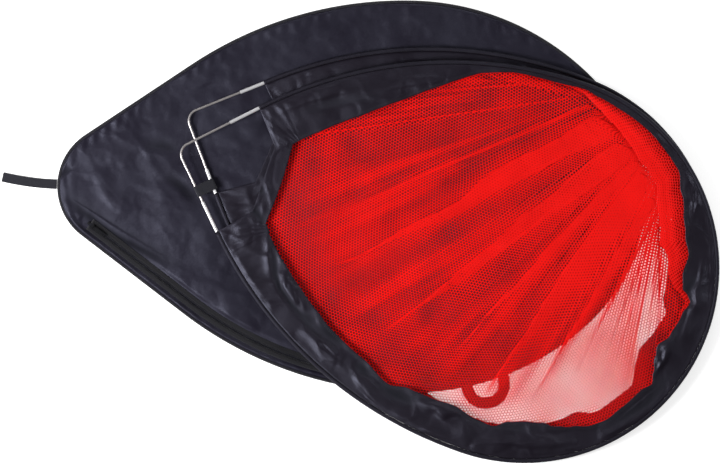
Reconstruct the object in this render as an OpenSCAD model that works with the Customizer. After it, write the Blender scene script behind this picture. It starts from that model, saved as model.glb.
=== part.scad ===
// Folded pop-up sports goal lying on its carry bag, in millimetres, +Z up, resting on z = 0.
// Two equal teardrop hoops are stacked: the ground hoop below and the front hoop on top of it.
// Each hoop is a flexible rod in a nylon sleeve, closed by an L-shaped steel corner rod.

/* [Hoops] */
// Angle between the two arms of a corner rod
corner_angle = 91; // [88:0.5:94]
// Length of a straight arm, from the virtual corner to where the long side starts to curve
arm_len = 165; // [164:1:175]
// Radius of the long sides
side_r = 735; // [715:5:755]
// Diameter of the flexible rod
rod_d = 4; // [3.6:0.1:4.4]
// Diameter of the steel corner rod
corner_rod_d = 4; // [3.6:0.1:4.4]
// Bend radius of the corner rod, at its centre-line
bend_r = 20; // [14:1:30]
// Where each ferrule starts, measured from the virtual corner
ferrule_from = 103; // [100:1:108]
// Length of a ferrule
ferrule_len = 60; // [54:1:64]
// Wall of a ferrule
ferrule_wall = 0.9; // [0.7:0.1:1.1]
// How far each rod end is pushed into its ferrule
rod_grip = 27; // [20:1:27]

/* [Sleeves] */
// Thickness of the sleeve and border cloth
cloth_t = 0.4; // [0.3:0.1:0.5]
// Play between the sleeve and the ferrule
sleeve_play = 0.3; // [0.2:0.1:0.5]
// Where the ground hoop's sleeve starts, measured from the virtual corner
ground_sleeve_from = 148; // [147:1:156]
// Where the front hoop's sleeve starts, measured from the virtual corner
front_sleeve_from = 160; // [156:1:161]
// Width of the flat nylon border inside the sleeve
border_w = 74; // [66:1:80]
// How much narrower the border is along its sides
side_pull = 10; // [6:1:14]
// How much narrower still it is round the far end
end_pull = 16; // [10:1:20]
// How much of the front border is rolled under along the top side
tuck_w = 64; // [40:1:66]
// Along that side, where the roll starts
tuck_start = 340; // [320:5:360]
// Where the roll is complete
tuck_full = 590; // [560:5:620]
// Where the roll begins to open again
tuck_back = 930; // [900:5:950]
// Where the border is flat again
tuck_end = 1070; // [1050:5:1100]
// Distance of the corner strip's outer edge from the virtual corner
strip_x = 160; // [156:1:166]
// Half length of the corner strip
strip_y = 60; // [52:1:66]
// Width of the corner strip
strip_w = 28; // [22:1:32]

/* [Net] */
// Thickness of the net cloth
net_t = 0.6; // [0.4:0.1:0.8]
// How far the net runs under the front border
net_lap = 8; // [6:1:10]
// Height of the gathers in the net
gather_h = 2.2; // [1.6:0.1:2.4]
// Number of gathers in a full turn about the gather point
gathers = 22; // [16:1:26]
// Gather point, measured along the front hoop's axis
gather_x = 783; // [760:1:800]
// Gather point, measured across the front hoop's axis
gather_y = 245; // [225:1:250]
// Depth of the fold that lets the front hoop swing up, at its deepest
fold_depth = 60; // [50:1:80]
// Depth of that fold elsewhere
fold_least = 18; // [16:1:24]

/* [Layout] */
// Clear height between the two stacked sleeves
hoop_gap = 4; // [3.8:0.2:6]
// Ground hoop's virtual corner, along X
ground_x = -305; // [-307:0.5:-303]
// Ground hoop's virtual corner, along Y
ground_y = 205; // [203:0.5:207]
// Direction of the ground hoop's axis
ground_turn = -23.7; // [-24.2:0.1:-23.2]
// Front hoop's virtual corner, along X
front_x = -319; // [-321:0.5:-317]
// Front hoop's virtual corner, along Y
front_y = 144; // [142:0.5:146]
// Direction of the front hoop's axis
front_turn = -18.9; // [-19.4:0.1:-18.4]

/* [Tie strap] */
// Width of the strap
tie_w = 20; // [16:1:22]
// Thickness of the strap
tie_t = 1.5; // [1:0.1:1.8]
// Where the strap holds the front corner rod, measured from its virtual corner
tie_from = 82; // [78:1:84]

/* [Bag] */
// Radius of the bag's nose
nose_r = 108; // [100:1:116]
// Angle of the straight edges to the bag's axis
edge_angle = 35.5; // [34.5:0.5:36.5]
// Length of the straight edges
edge_len = 225; // [215:1:235]
// Radius of the bag's long sides
bag_side_r = 670; // [650:5:690]
// Radius of the bag's shoulders
shoulder_r = 455; // [440:5:470]
// Angle that each shoulder turns through
shoulder_turn = 45; // [42:1:48]
// Thickness of a bag panel
panel_t = 0.5; // [0.4:0.1:0.6]
// Width of the binding tape round the bag's edge
binding_w = 5; // [4:0.5:6]
// Height of the bound edge
binding_h = 3; // [2.4:0.1:3.2]
// Bag's nose, along X
nose_x = -530; // [-532:0.5:-528]
// Bag's nose, along Y
nose_y = 82.7; // [80.7:0.5:84.7]
// Direction of the bag's axis
bag_turn = -2; // [-2.5:0.1:-1.5]

/* [Webbing] */
// Length of the hanging tail at the nose
tail_len = 97.4; // [80.4:1:110.4]
// Width of the hanging tail
tail_w = 17; // [14:1:20]
// Thickness of the doubled webbing
web_t = 1.6; // [1.2:0.1:2]
// Outer radius of the carry handle
handle_r = 43; // [38:1:48]
// Width of the handle's webbing
handle_w = 20; // [16:1:21]
// How far the handle's legs run before they reach the bag's edge
handle_leg = 8; // [4:1:12]
// Place of the handle, along X
handle_x = 219.5; // [217:0.5:222]
// Place of the handle, along Y
handle_y = -267.5; // [-269:0.5:-266]
// Direction in which the handle points
handle_turn = -72; // [-75:1:-69]

/* [Zip] */
// Distance of the zip from the bag's edge
zip_in = 25; // [20:0.5:30]
// Width of the coil
coil_w = 5.6; // [5:0.2:6]
// Height of the coil
coil_h = 1.5; // [1.3:0.1:1.5]
// Width of each tape beside the coil
tape_w = 8; // [6:0.5:10]
// How far the zip runs round the bag's shoulder, in degrees
zip_wrap = 25; // [15:1:30]
// Length of the slider
slider_len = 11; // [9:0.5:14]
// Width of the slider
slider_w = 9.4; // [8.8:0.2:11]
// Length of the pull tab
pull_len = 26; // [18:1:34]
// Distance that the slider can run
zip_travel = 190; // [150:5:195]

/* [Hidden] */
$fn = 48;

// Clearances
gap = 0.3;            // between cloth faces that lie on each other
fit = 0.1;            // radial play of a rod in its ferrule
pin_play = 0.05;      // radial play of the pull tab on the slider's bar
seam = 1.2;           // between the two rows of the coil

nylon = [0.17, 0.15, 0.21];
webbing = [0.12, 0.11, 0.14];
steel = [0.78, 0.78, 0.80];
bright = [0.92, 0.92, 0.93];
mesh_red = [0.90, 0.09, 0.07];
zip_black = [0.08, 0.08, 0.10];

// Hoop centre-line: a straight arm, a long side arc and a half-round end, mirrored about the axis
half = corner_angle / 2;
arm_dir = [cos(half), sin(half)];
arm_end = arm_len * arm_dir;
side_c = arm_end + side_r * [sin(half), -cos(half)];
end_c = [side_c.x, 0];
end_r = side_c.y + side_r;
side_len = side_r * half * PI / 180;
end_len = end_r * PI / 2;
half_len = arm_len + side_len + end_len;

// Radii round the rods
ferrule_r = corner_rod_d / 2 + fit + ferrule_wall;
sleeve_ir = ferrule_r + sleeve_play;
sleeve_or = sleeve_ir + cloth_t;
border_t = 2 * cloth_t;
mouth_or = sleeve_or + 0.3;
mouth_end = arm_len + 5;

// Heights
back_top = panel_t;
panel_z = back_top + gap;
bag_top = panel_z + panel_t;
tape_z = bag_top + gap;
slider_base_t = 0.5;
slot = 0.3;
coil_z = tape_z + slider_base_t + slot;
bag_high = max(binding_h, coil_z + coil_h);
ground_z = bag_high + gap + mouth_or;
front_z = ground_z + 2 * sleeve_or + hoop_gap;
net_low = ground_z + border_t / 2 + gap;
net_high = front_z - border_t / 2 - gap;
net_mid = net_low + net_t / 2 + 2.7;
fold_floor = net_mid + gather_h + net_t / 2 + gap;

// A smooth step from 0 to 1 between a and b
function ramp(s, a, b) = let (t = min(1, max(0, (s - a) / (b - a)))) t * t * (3 - 2 * t);

// Point and inward direction on the upper half of the centre-line, s from the virtual corner
function way(s) =
    s <= arm_len ? [s * arm_dir, [sin(half), -cos(half)]]
    : s <= arm_len + side_len ?
        let (h = half - (s - arm_len) / side_r * 180 / PI)
        [side_c + side_r * [-sin(h), cos(h)], [sin(h), -cos(h)]]
    : let (h = (s - arm_len - side_len) / end_r * 180 / PI)
        [end_c + end_r * [sin(h), cos(h)], [-sin(h), -cos(h)]];
function inset(s, w) = way(s)[0] + w * way(s)[1];
function flip(points) = [for (i = [len(points) - 1:-1:0]) [points[i].x, -points[i].y]];
function stations(from, n) = [for (i = [0:n]) from + (half_len - from) * i / n];
function arc(c, r, a0, a1, n) = [for (i = [0:n]) c + r * [cos(a0 + (a1 - a0) * i / n), sin(a0 + (a1 - a0) * i / n)]];

// Width of the border at s; tuck is what is rolled under
least_border = sleeve_or + 5;
function border_at(s, tuck) = max(least_border,
    border_w - side_pull * ramp(s, 250, 450) - end_pull * ramp(s, 880, 1030)
    - tuck * (ramp(s, tuck_start, tuck_full) - ramp(s, tuck_back, tuck_end)));

module on_ground() translate([ground_x, ground_y, ground_z]) rotate([0, 0, ground_turn]) children();
module on_front() translate([front_x, front_y, front_z]) rotate([0, 0, front_turn]) children();
module on_bag() translate([nose_x, nose_y, 0]) rotate([0, 0, bag_turn]) children();

// Both halves of a mirrored shape
module both_sides() {
    children();
    mirror([0, 1, 0]) children();
}

// A round bar along an arm, from and to measured from the virtual corner
module along_arm(from, to, r) {
    rotate([0, 0, half]) translate([from, 0, 0]) rotate([0, 90, 0]) cylinder(r = r, h = to - from);
}

// A round bar bent to an arc of radius bend about c
module swept(c, bend, a0, turn, r) {
    translate([c.x, c.y, 0]) rotate([0, 0, a0]) rotate_extrude(angle = turn, $fn = 96)
        translate([bend, 0]) circle(r = r, $fn = 24);
}

// The hoop's long bends and round end, as a bar
module hoop_bends(r) {
    both_sides() swept(side_c, side_r, 90, half, r);
    swept(end_c, end_r, -90, 180, r);
}

// Nylon sleeve: a long bent tube with a hemmed mouth at each end
module sleeve(from) {
    difference() {
        union() {
            hoop_bends(sleeve_or);
            both_sides() along_arm(from, mouth_end, mouth_or);
        }
        hoop_bends(sleeve_ir);
        both_sides() along_arm(from - 1, mouth_end - 0.5, sleeve_ir + 0.1);
    }
}

// A bent stretch of rod is a little thinner than the straight one that it runs into
bend_thin = 0.05;

module corner_rod() {
    bend_x = bend_r / sin(half);
    tangent = bend_r / tan(half);
    r = corner_rod_d / 2;
    both_sides() along_arm(tangent - 1, ferrule_from + rod_grip, r);
    swept([bend_x, 0], bend_r, 90 + half, 180 - corner_angle, r - bend_thin);
}

module flexible_rod() {
    both_sides() along_arm(ferrule_from + ferrule_len - rod_grip, arm_len + 4, rod_d / 2);
    hoop_bends(rod_d / 2 - bend_thin);
}

module ferrule(side) {
    bore_r = max(corner_rod_d, rod_d) / 2 + fit;
    mirror([0, side < 0 ? 1 : 0, 0]) difference() {
        along_arm(ferrule_from, ferrule_from + ferrule_len, ferrule_r);
        along_arm(ferrule_from - 1, ferrule_from + ferrule_len + 1, bore_r);
    }
}

// Flat nylon border: the sleeve's inside edge, less the window that the net fills
module border(from, tuck) {
    edge = mouth_or + 0.2;
    outer = [for (s = concat([from], stations(arm_len, 44))) inset(s, edge)];
    translate([0, 0, -border_t / 2]) linear_extrude(border_t) difference() {
        polygon(concat([[strip_x, strip_y]], outer, flip(outer), [[strip_x, -strip_y]]));
        polygon(window(tuck, 0));
    }
}

// Outline of the net's window, made larger all round by lap
window_from = 205;
window_n = 30;
function lap_at(s, tuck, lap) = min(lap, border_at(s, tuck) - sleeve_or - 0.5);
function window_side(tuck, lap) =
    [for (s = stations(window_from, window_n)) inset(s, border_at(s, tuck) - lap_at(s, tuck, lap))];
function window(tuck, lap) =
    let (x = strip_x + strip_w - lap, y = strip_y + 13 + lap / 2)
    concat([for (k = [0:4]) [x, y * (k - 2) / 2]],
        window_side(tuck, lap), [for (i = [1:window_n]) flip(window_side(0, lap))[i]]);

// Net: a sheet whose gathers fan out from one point
module net() {
    rim = window(tuck_w, net_lap);
    n = len(rim);
    m = 8;
    g = [gather_x, gather_y];
    function level(u, p) =
        let (turn = atan2(p.y - g.y, p.x - g.x))
        net_low + net_t / 2 + (net_mid - net_low - net_t / 2) * ramp(u, 0.1, 0.4)
        + gather_h * sin(180 * u) * ramp(u, 0, 0.3) * sin(gathers * turn);
    function at(j, i, side) =
        let (u = j / m, p = rim[i] + u * (g - rim[i]))
        [p.x, p.y, level(u, rim[i]) + side * net_t / 2];
    function id(j, i, side) = (side < 0 ? 0 : m * n + 1) + (j == m ? m * n : j * n + i % n);
    points = concat(
        [for (j = [0:m - 1], i = [0:n - 1]) at(j, i, -1)], [[g.x, g.y, net_mid - net_t / 2]],
        [for (j = [0:m - 1], i = [0:n - 1]) at(j, i, 1)], [[g.x, g.y, net_mid + net_t / 2]]);
    faces = concat(
        [for (j = [0:m - 2], i = [0:n - 1]) [id(j, i, 1), id(j + 1, i, 1), id(j, i + 1, 1)]],
        [for (j = [0:m - 2], i = [0:n - 1]) [id(j, i + 1, 1), id(j + 1, i, 1), id(j + 1, i + 1, 1)]],
        [for (i = [0:n - 1]) [id(m - 1, i, 1), id(m, i, 1), id(m - 1, i + 1, 1)]],
        [for (j = [0:m - 2], i = [0:n - 1]) [id(j, i, -1), id(j, i + 1, -1), id(j + 1, i, -1)]],
        [for (j = [0:m - 2], i = [0:n - 1]) [id(j, i + 1, -1), id(j + 1, i + 1, -1), id(j + 1, i, -1)]],
        [for (i = [0:n - 1]) [id(m - 1, i, -1), id(m - 1, i + 1, -1), id(m, i, -1)]],
        [for (i = [0:n - 1]) [id(0, i, -1), id(0, i, 1), id(0, i + 1, -1)]],
        [for (i = [0:n - 1]) [id(0, i + 1, -1), id(0, i, 1), id(0, i + 1, 1)]]);
    polyhedron(points, faces);
}

// Slack of the net, folded in once between the hoops all the way round the far end
fold_from = 230;
fold_to = 450;
fold_n = 52;
fold_rise = 6; // the fold is clear of the gathers from here inwards
module slack_fold() {
    span = 2 * half_len - fold_from - fold_to;
    function ring(k) =
        let (d = fold_from + span * k / fold_n,
             s = min(d, 2 * half_len - d),
             side = d <= half_len ? 1 : -1,
             tuck = side > 0 ? tuck_w : 0,
             w = border_at(s, tuck),
             lap = lap_at(s, tuck, net_lap),
             depth = fold_least + (fold_depth - fold_least) * (ramp(d, 700, 940) - ramp(d, 1080, 1320)),
             shape = [
                 [-lap, net_low + net_t + gap], [fold_rise, fold_floor], [depth, (fold_floor + net_high) / 2],
                 [depth / 2, net_high - 2 * gap], [-lap, net_high], [-lap, net_high - net_t],
                 [depth / 2, net_high - 2 * gap - net_t], [depth - 4, (fold_floor + net_high) / 2],
                 [fold_rise, fold_floor + net_t], [-lap, net_low + 2 * net_t + gap]])
        [for (q = shape) let (p = inset(s, w + q.x)) [p.x, side * p.y, q.y]];
    points = [for (k = [0:fold_n]) each ring(k)];
    c = 10;
    faces = concat(
        [for (k = [0:fold_n - 1], i = [0:c - 1]) [k * c + i, (k + 1) * c + i, k * c + (i + 1) % c]],
        [for (k = [0:fold_n - 1], i = [0:c - 1])
            [k * c + (i + 1) % c, (k + 1) * c + i, (k + 1) * c + (i + 1) % c]],
        [for (e = [[0, 1, 9], [1, 8, 9], [1, 2, 8], [2, 7, 8], [2, 3, 7], [3, 6, 7], [3, 4, 6], [4, 5, 6]]) e],
        [for (e = [[0, 9, 1], [1, 9, 8], [1, 8, 2], [2, 8, 7], [2, 7, 3], [3, 7, 6], [3, 6, 4], [4, 6, 5]])
            [for (v = e) fold_n * c + v]]);
    polyhedron(points, faces);
}

// Bag outline, made smaller all round by d: nose arc, straight edge, side arc, shoulder and end arc
bag_side_c = [nose_r * (1 - sin(edge_angle)) + edge_len * cos(edge_angle) + bag_side_r * sin(edge_angle),
    nose_r * cos(edge_angle) + edge_len * sin(edge_angle) - bag_side_r * cos(edge_angle)];
bag_half_w = bag_side_c.y + bag_side_r;
shoulder_c = [bag_side_c.x, bag_half_w - shoulder_r];
bag_end_x = shoulder_c.x + shoulder_r * sin(shoulder_turn);
bag_end_y = shoulder_c.y + shoulder_r * cos(shoulder_turn);
bag_end_r = bag_end_y / cos(shoulder_turn);
bag_end_c = [bag_end_x - bag_end_r * sin(shoulder_turn), 0];
function bag_half(d) = concat(
    arc([nose_r, 0], nose_r - d, 180, 90 + edge_angle, 10),
    arc(bag_side_c, bag_side_r - d, 90 + edge_angle, 90, 14),
    arc(shoulder_c, shoulder_r - d, 90, 90 - shoulder_turn, 16),
    arc(bag_end_c, bag_end_r - d, 90 - shoulder_turn, 0, 14));
function bag_outline(d) = concat(bag_half(d), flip([for (i = [1:len(bag_half(d)) - 2]) bag_half(d)[i]]));

module bag_panel(z) {
    on_bag() translate([0, 0, z]) linear_extrude(panel_t) polygon(bag_outline(binding_w - 1));
}

module bag_back_panel() {
    color(nylon) bag_panel(0);
}

module bag_front_panel() {
    color(nylon) bag_panel(panel_z);
}

// Binding: folded tape round the edge, with a slit on its inside that holds both panels
module bag_binding() {
    color(webbing) on_bag() difference() {
        linear_extrude(binding_h) difference() {
            polygon(bag_outline(0));
            polygon(bag_outline(binding_w));
        }
        translate([0, 0, -1]) linear_extrude(bag_top + gap + 1) polygon(bag_outline(binding_w - 1 - gap));
    }
}

// Webbing tail at the nose: a flat doubled strap that turns about its rolled root
tail_root = web_t / 2 + gap;
module bag_tail_loop() {
    color(webbing) on_bag() translate([-tail_root, 0, gap + web_t / 2]) {
        translate([0, tail_w / 2, 0]) rotate([90, 0, 0]) cylinder(d = web_t, h = tail_w);
        translate([tail_root - tail_len, -tail_w / 2, -web_t / 2]) cube([tail_len - tail_root, tail_w, web_t]);
    }
}

// Webbing handle: a half ring with two legs that end at the bag's piping
module bag_handle() {
    inner = handle_r - handle_w;
    color(webbing) translate([0, 0, gap]) linear_extrude(web_t) difference() {
        translate([handle_x, handle_y]) rotate(handle_turn) difference() {
            union() {
                circle(r = handle_r, $fn = 96);
                translate([-handle_leg - 20, -handle_r]) square([handle_leg + 20, 2 * handle_r]);
            }
            circle(r = inner, $fn = 96);
            translate([-handle_leg - 21, -inner]) square([handle_leg + 21, 2 * inner]);
        }
        translate([nose_x, nose_y]) rotate(bag_turn) polygon(bag_outline(-gap));
    }
}

// Zip: runs along the lower edge from the nose and round the side; d is the distance from the bag's edge
// and extra makes the line longer at both ends
function zip_line(d, extra = 0) = concat(
    [[nose_r, 0] + (nose_r - d) * [-sin(edge_angle), cos(edge_angle)] - extra * [cos(edge_angle), sin(edge_angle)]],
    arc(bag_side_c, bag_side_r - d, 90 + edge_angle, 90, 14),
    arc(shoulder_c, shoulder_r - d, 90, 90 - zip_wrap - extra / shoulder_r * 180 / PI, 8));
module zip_strip(y0, w, extra = 0) {
    near = zip_line(zip_in + y0, extra);
    far = zip_line(zip_in + y0 + w, extra);
    mirror([0, 1, 0]) polygon(concat(near, [for (i = [len(far) - 1:-1:0]) far[i]]));
}

// One tape: a thin half that reaches the coil, held in a doubled half that lies on the bag
module zip_tape(y0, hem_y0) {
    thin = 0.5;
    top = coil_z + coil_h / 2 + thin / 2;
    color(webbing) on_bag() {
        translate([0, 0, top - thin]) linear_extrude(thin) zip_strip(y0, tape_w - 0.3);
        translate([0, 0, tape_z]) linear_extrude(top + 0.1 - tape_z) zip_strip(hem_y0, tape_w / 2, 0.5);
    }
}

module zip_inner_tape() {
    y0 = coil_w / 2 + gap;
    zip_tape(y0, y0 + tape_w / 2);
}

module zip_outer_tape() {
    y0 = -coil_w / 2 - gap - tape_w;
    zip_tape(y0 + 0.3, y0);
}

// The two rows of the coil, with a fine seam between them for the slider's divider
module zip_inner_coil() {
    color(zip_black) on_bag() translate([0, 0, coil_z]) linear_extrude(coil_h) zip_strip(seam / 2, (coil_w - seam) / 2);
}

module zip_outer_coil() {
    color(zip_black) on_bag() translate([0, 0, coil_z]) linear_extrude(coil_h) zip_strip(-coil_w / 2, (coil_w - seam) / 2);
}

// The zip line's straight stretch starts here; the slider runs along it
zip_start = [nose_r, 0] + (nose_r - zip_in) * [-sin(edge_angle), cos(edge_angle)];
module at_zip(x) {
    on_bag() mirror([0, 1, 0]) translate([zip_start.x, zip_start.y, 0]) rotate([0, 0, edge_angle])
        translate([x, 0, 0]) children();
}

module zip_stops() {
    stop_l = 4;
    color(steel) {
        at_zip(-stop_l - gap) translate([0, -coil_w / 2, coil_z]) cube([stop_l, coil_w, coil_h]);
        on_bag() mirror([0, 1, 0]) translate([shoulder_c.x, shoulder_c.y, coil_z]) rotate([0, 0, 90 - zip_wrap])
            translate([shoulder_r - zip_in - coil_w / 2, -stop_l - gap, 0]) cube([coil_w, stop_l, coil_h]);
    }
}

// Slider: two plates joined by a divider in the coil's seam, with lugs and a bar for the pull tab
plate_t = 0.8;
slider_x = 3;
slider_high = coil_z + coil_h + slot;
bar_r = 0.7;
eye_r = 1.35;
bar_z = slider_high + plate_t + eye_r + 0.2;
eye_w = 3;
lug_t = 1;
module zip_slider() {
    lug_y = eye_w / 2 + gap;
    lip = 0.7;
    divider = 0.6;
    mid = slider_len / 2;
    color(zip_black) at_zip(slider_x) {
        translate([0, -slider_w / 2, tape_z]) cube([slider_len, slider_w, slider_base_t]);
        translate([0, -slider_w / 2, slider_high]) cube([slider_len, slider_w, plate_t]);
        translate([mid - 2.5, -divider / 2, tape_z]) cube([5, divider, slider_high + plate_t - tape_z]);
        for (y = [-slider_w / 2, slider_w / 2 - lip]) translate([0, y, slider_high - 0.45])
            cube([slider_len, lip, 0.45 + plate_t]);
        for (y = [-lug_y - lug_t, lug_y]) translate([mid - 2, y, slider_high])
            cube([4, lug_t, bar_z + bar_r + 0.6 - slider_high]);
        translate([mid, lug_y + lug_t, bar_z]) rotate([90, 0, 0]) cylinder(r = bar_r, h = 2 * (lug_y + lug_t));
    }
}

module zip_pull() {
    tab_w = 6;
    tab_t = 1.2;
    color(zip_black) at_zip(slider_x + slider_len / 2) translate([0, 0, bar_z]) difference() {
        union() {
            translate([0, eye_w / 2, 0]) rotate([90, 0, 0]) cylinder(r = eye_r, h = eye_w);
            translate([0, -eye_w / 2, -tab_t / 2]) cube([5, eye_w, tab_t]);
            translate([4.5, -tab_w / 2, -tab_t / 2]) cube([pull_len - 4.5 - tab_w / 2, tab_w, tab_t]);
            translate([pull_len - tab_w / 2, 0, -tab_t / 2]) cylinder(d = tab_w, h = tab_t);
        }
        translate([0, eye_w / 2 + 1, 0]) rotate([90, 0, 0]) cylinder(r = bar_r + pin_play, h = eye_w + 2);
        translate([pull_len - tab_w / 2, 0, -2]) cylinder(d = 2.6, h = 4);
    }
}

// Tie strap: wraps both lower corner arms; its profile lies across the front arm
front_arm = [cos(front_turn - half), sin(front_turn - half)];
ground_arm = [cos(ground_turn - half), sin(ground_turn - half)];
tie_mid = [front_x, front_y] + tie_from * front_arm;
across = [-front_arm.y, front_arm.x];
// where the ground arm crosses the strap, measured across from the front arm
tie_det = ground_arm.x * across.y - ground_arm.y * across.x;
tie_span = (ground_arm.x * (ground_y - tie_mid.y) - ground_arm.y * (ground_x - tie_mid.x)) / tie_det;
tie_a = [0, front_z];
tie_b = [tie_span, ground_z];
tie_ra = corner_rod_d / 2 + gap;
tie_rb = ferrule_r + 1.2;
tie_line = tie_b - tie_a;
tie_tilt = atan2(tie_line.y, tie_line.x);
under = tie_tilt - acos((tie_ra - tie_rb) / norm(tie_line));
flap_rb = tie_rb + tie_t + gap;
over = tie_tilt + acos((tie_ra - flap_rb) / norm(tie_line));
flap_root_a = 165;
flap_root = tie_a + (tie_ra + tie_t / 2) * [cos(flap_root_a), sin(flap_root_a)];

module strap_frame() {
    translate([tie_mid.x, tie_mid.y, 0]) rotate([0, 0, atan2(across.y, across.x)])
        rotate([90, 0, 0]) translate([0, 0, -tie_w / 2]) linear_extrude(tie_w) children();
}

// Side view of a strap that lies round two rods; each turn is [centre, radius, from, to]
module ribbon(turns) {
    inside = [for (q = turns) each arc(q[0], q[1], q[2], q[3], 12)];
    outside = [for (q = turns) each arc(q[0], q[1] + tie_t, q[2], q[3], 12)];
    polygon(concat(inside, [for (i = [len(outside) - 1:-1:0]) outside[i]]));
}

module tie_strap() {
    color(webbing) strap_frame()
        ribbon([[tie_a, tie_ra, -165, under], [tie_b, tie_rb, under, 75]]);
}

module tie_flap() {
    color(webbing) {
        strap_frame() translate(flap_root) circle(d = tie_t - 0.2);
        strap_frame() ribbon([[tie_b, flap_rb, 40, over], [tie_a, tie_ra, over, flap_root_a]]);
    }
}

module ground_corner_rod() {
    color(steel) on_ground() corner_rod();
}

module ground_rod() {
    color(steel) on_ground() flexible_rod();
}

module ground_upper_ferrule() {
    color(bright) on_ground() ferrule(1);
}

module ground_lower_ferrule() {
    color(bright) on_ground() ferrule(-1);
}

module ground_sleeve() {
    color(nylon) on_ground() sleeve(ground_sleeve_from);
}

module ground_border() {
    color(nylon) on_ground() border(ground_sleeve_from, 0);
}

module net_sheet() {
    color(mesh_red) translate([front_x, front_y, 0]) rotate([0, 0, front_turn]) net();
}

module net_fold() {
    color(mesh_red) translate([front_x, front_y, 0]) rotate([0, 0, front_turn]) slack_fold();
}

module front_corner_rod() {
    color(steel) on_front() corner_rod();
}

module front_rod() {
    color(steel) on_front() flexible_rod();
}

module front_upper_ferrule() {
    color(bright) on_front() ferrule(1);
}

module front_lower_ferrule() {
    color(bright) on_front() ferrule(-1);
}

module front_sleeve() {
    color(nylon) on_front() sleeve(front_sleeve_from);
}

module front_border() {
    color(nylon) on_front() border(front_sleeve_from, tuck_w);
}

bag_back_panel();
bag_front_panel();
bag_binding();
bag_tail_loop();
bag_handle();
zip_inner_tape();
zip_outer_tape();
zip_inner_coil();
zip_outer_coil();
zip_stops();
zip_slider();
zip_pull();
ground_corner_rod();
ground_rod();
ground_upper_ferrule();
ground_lower_ferrule();
ground_sleeve();
ground_border();
net_sheet();
net_fold();
tie_strap();
tie_flap();
front_corner_rod();
front_rod();
front_upper_ferrule();
front_lower_ferrule();
front_sleeve();
front_border();
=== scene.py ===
"""Looks of the folded pop-up goal on its carry bag. Sizes are in millimetres until a mesh is made."""

from math import acos, atan2, cos, hypot, pi, radians, sin

import bpy
import numpy as np
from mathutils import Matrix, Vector


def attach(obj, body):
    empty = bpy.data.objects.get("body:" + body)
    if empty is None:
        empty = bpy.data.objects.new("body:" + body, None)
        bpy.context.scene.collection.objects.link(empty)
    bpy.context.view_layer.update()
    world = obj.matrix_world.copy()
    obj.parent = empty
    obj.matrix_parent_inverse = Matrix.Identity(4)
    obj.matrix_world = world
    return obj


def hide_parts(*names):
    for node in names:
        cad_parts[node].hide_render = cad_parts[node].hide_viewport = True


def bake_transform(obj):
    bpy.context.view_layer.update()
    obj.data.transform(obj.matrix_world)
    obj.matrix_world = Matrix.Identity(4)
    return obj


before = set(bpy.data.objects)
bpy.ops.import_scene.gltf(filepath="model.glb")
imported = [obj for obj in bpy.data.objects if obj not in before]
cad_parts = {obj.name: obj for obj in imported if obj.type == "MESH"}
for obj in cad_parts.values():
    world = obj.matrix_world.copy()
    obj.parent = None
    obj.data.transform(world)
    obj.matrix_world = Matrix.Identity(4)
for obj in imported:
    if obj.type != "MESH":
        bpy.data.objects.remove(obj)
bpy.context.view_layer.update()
scene = bpy.context.scene
MM = 0.001

# ---------------------------------------------------------------- sizes, as in the CAD model
HALF = radians(45.5)            # half the angle between the two arms of a corner rod
ARM, SIDE_R = 165.0, 735.0      # straight arm, and radius of the long side bend
ARM_DIR = np.array([cos(HALF), sin(HALF)])
SIDE_C = ARM * ARM_DIR + SIDE_R * np.array([sin(HALF), -cos(HALF)])
END_R = SIDE_C[1] + SIDE_R
SIDE_LEN, END_LEN = SIDE_R * HALF, END_R * pi / 2
HALF_LEN = ARM + SIDE_LEN + END_LEN
SLEEVE_R, MOUTH_R, MOUTH_END = 3.7, 4.0, 170.0
MOUTH_OUT = MOUTH_R + 0.2       # a border's outer edge, from the rod's middle line
CLOTH = 0.4                     # thickness of a ply
STRIP_X, STRIP_Y, STRIP_W = 160.0, 60.0, 28.0
STRIP_CUT = 13.0                # how much further the strip's inner edge reaches at each end
FULL_FROM = 205.0               # path distance where the border is at full width and the net begins
TAUT_TO = 620.0                 # path distance where the taut upper side ends

# where each hoop's corner lies, its turn, its rod's height, and the path distance where its sleeve starts
FRONT = {"apex": (-319.0, 144.0), "turn": radians(-18.9), "z": 19.6, "mouth": 160.0}
GROUND = {"apex": (-305.0, 205.0), "turn": radians(-23.7), "z": 8.2, "mouth": 148.0}

# the bag: its nose, straight edge, side bend and shoulder, then its zip and binding tape
NOSE, BAG_TURN, NOSE_R = (-530.0, 82.7), radians(-2.0), 108.0
EDGE_ANGLE, EDGE_LEN, BAG_SIDE_R, SHOULDER_R = radians(35.5), 225.0, 670.0, 455.0
SHOULDER_TURN, ZIP_WRAP, ZIP_IN, BINDING_W = radians(45.0), radians(25.0), 25.0, 5.0

# the net: its lowest height, how far it lies under the border, its holes, and where it is drawn together
NET_LOW, NET_LAP = 8.9, 6.5
HOLE_PITCH = 5.3
HOLE_R, HOLE_BLUR = 0.332 * HOLE_PITCH, 0.12
GATHER, GATHER_R = (509, 68), 98

# the strap lies round both lower arms, and the front hoop swings up about its own lower arm
FRONT_ARM, GROUND_ARM = (np.array([cos(h["turn"] - HALF), sin(h["turn"] - HALF)]) for h in (FRONT, GROUND))
TIE_FROM, TIE_W, TIE_T = 82.0, 20.0, 1.5
TIE_MID = np.array(FRONT["apex"]) + TIE_FROM * FRONT_ARM
TIE_ACROSS = np.array([-FRONT_ARM[1], FRONT_ARM[0]])
SWING_Z = 14.5                  # height that the slack net is drawn out round, between the two hoops


def ramp(s, a, b):
    """A smooth step from 0 to 1 between a and b."""
    t = np.clip((np.asarray(s, float) - a) / (b - a), 0, 1)
    return t * t * (3 - 2 * t)


def bump(s, at, width):
    """A smooth hump of height 1 about at."""
    return np.exp(-(((np.asarray(s, float) - at) / width) ** 2))


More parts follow.
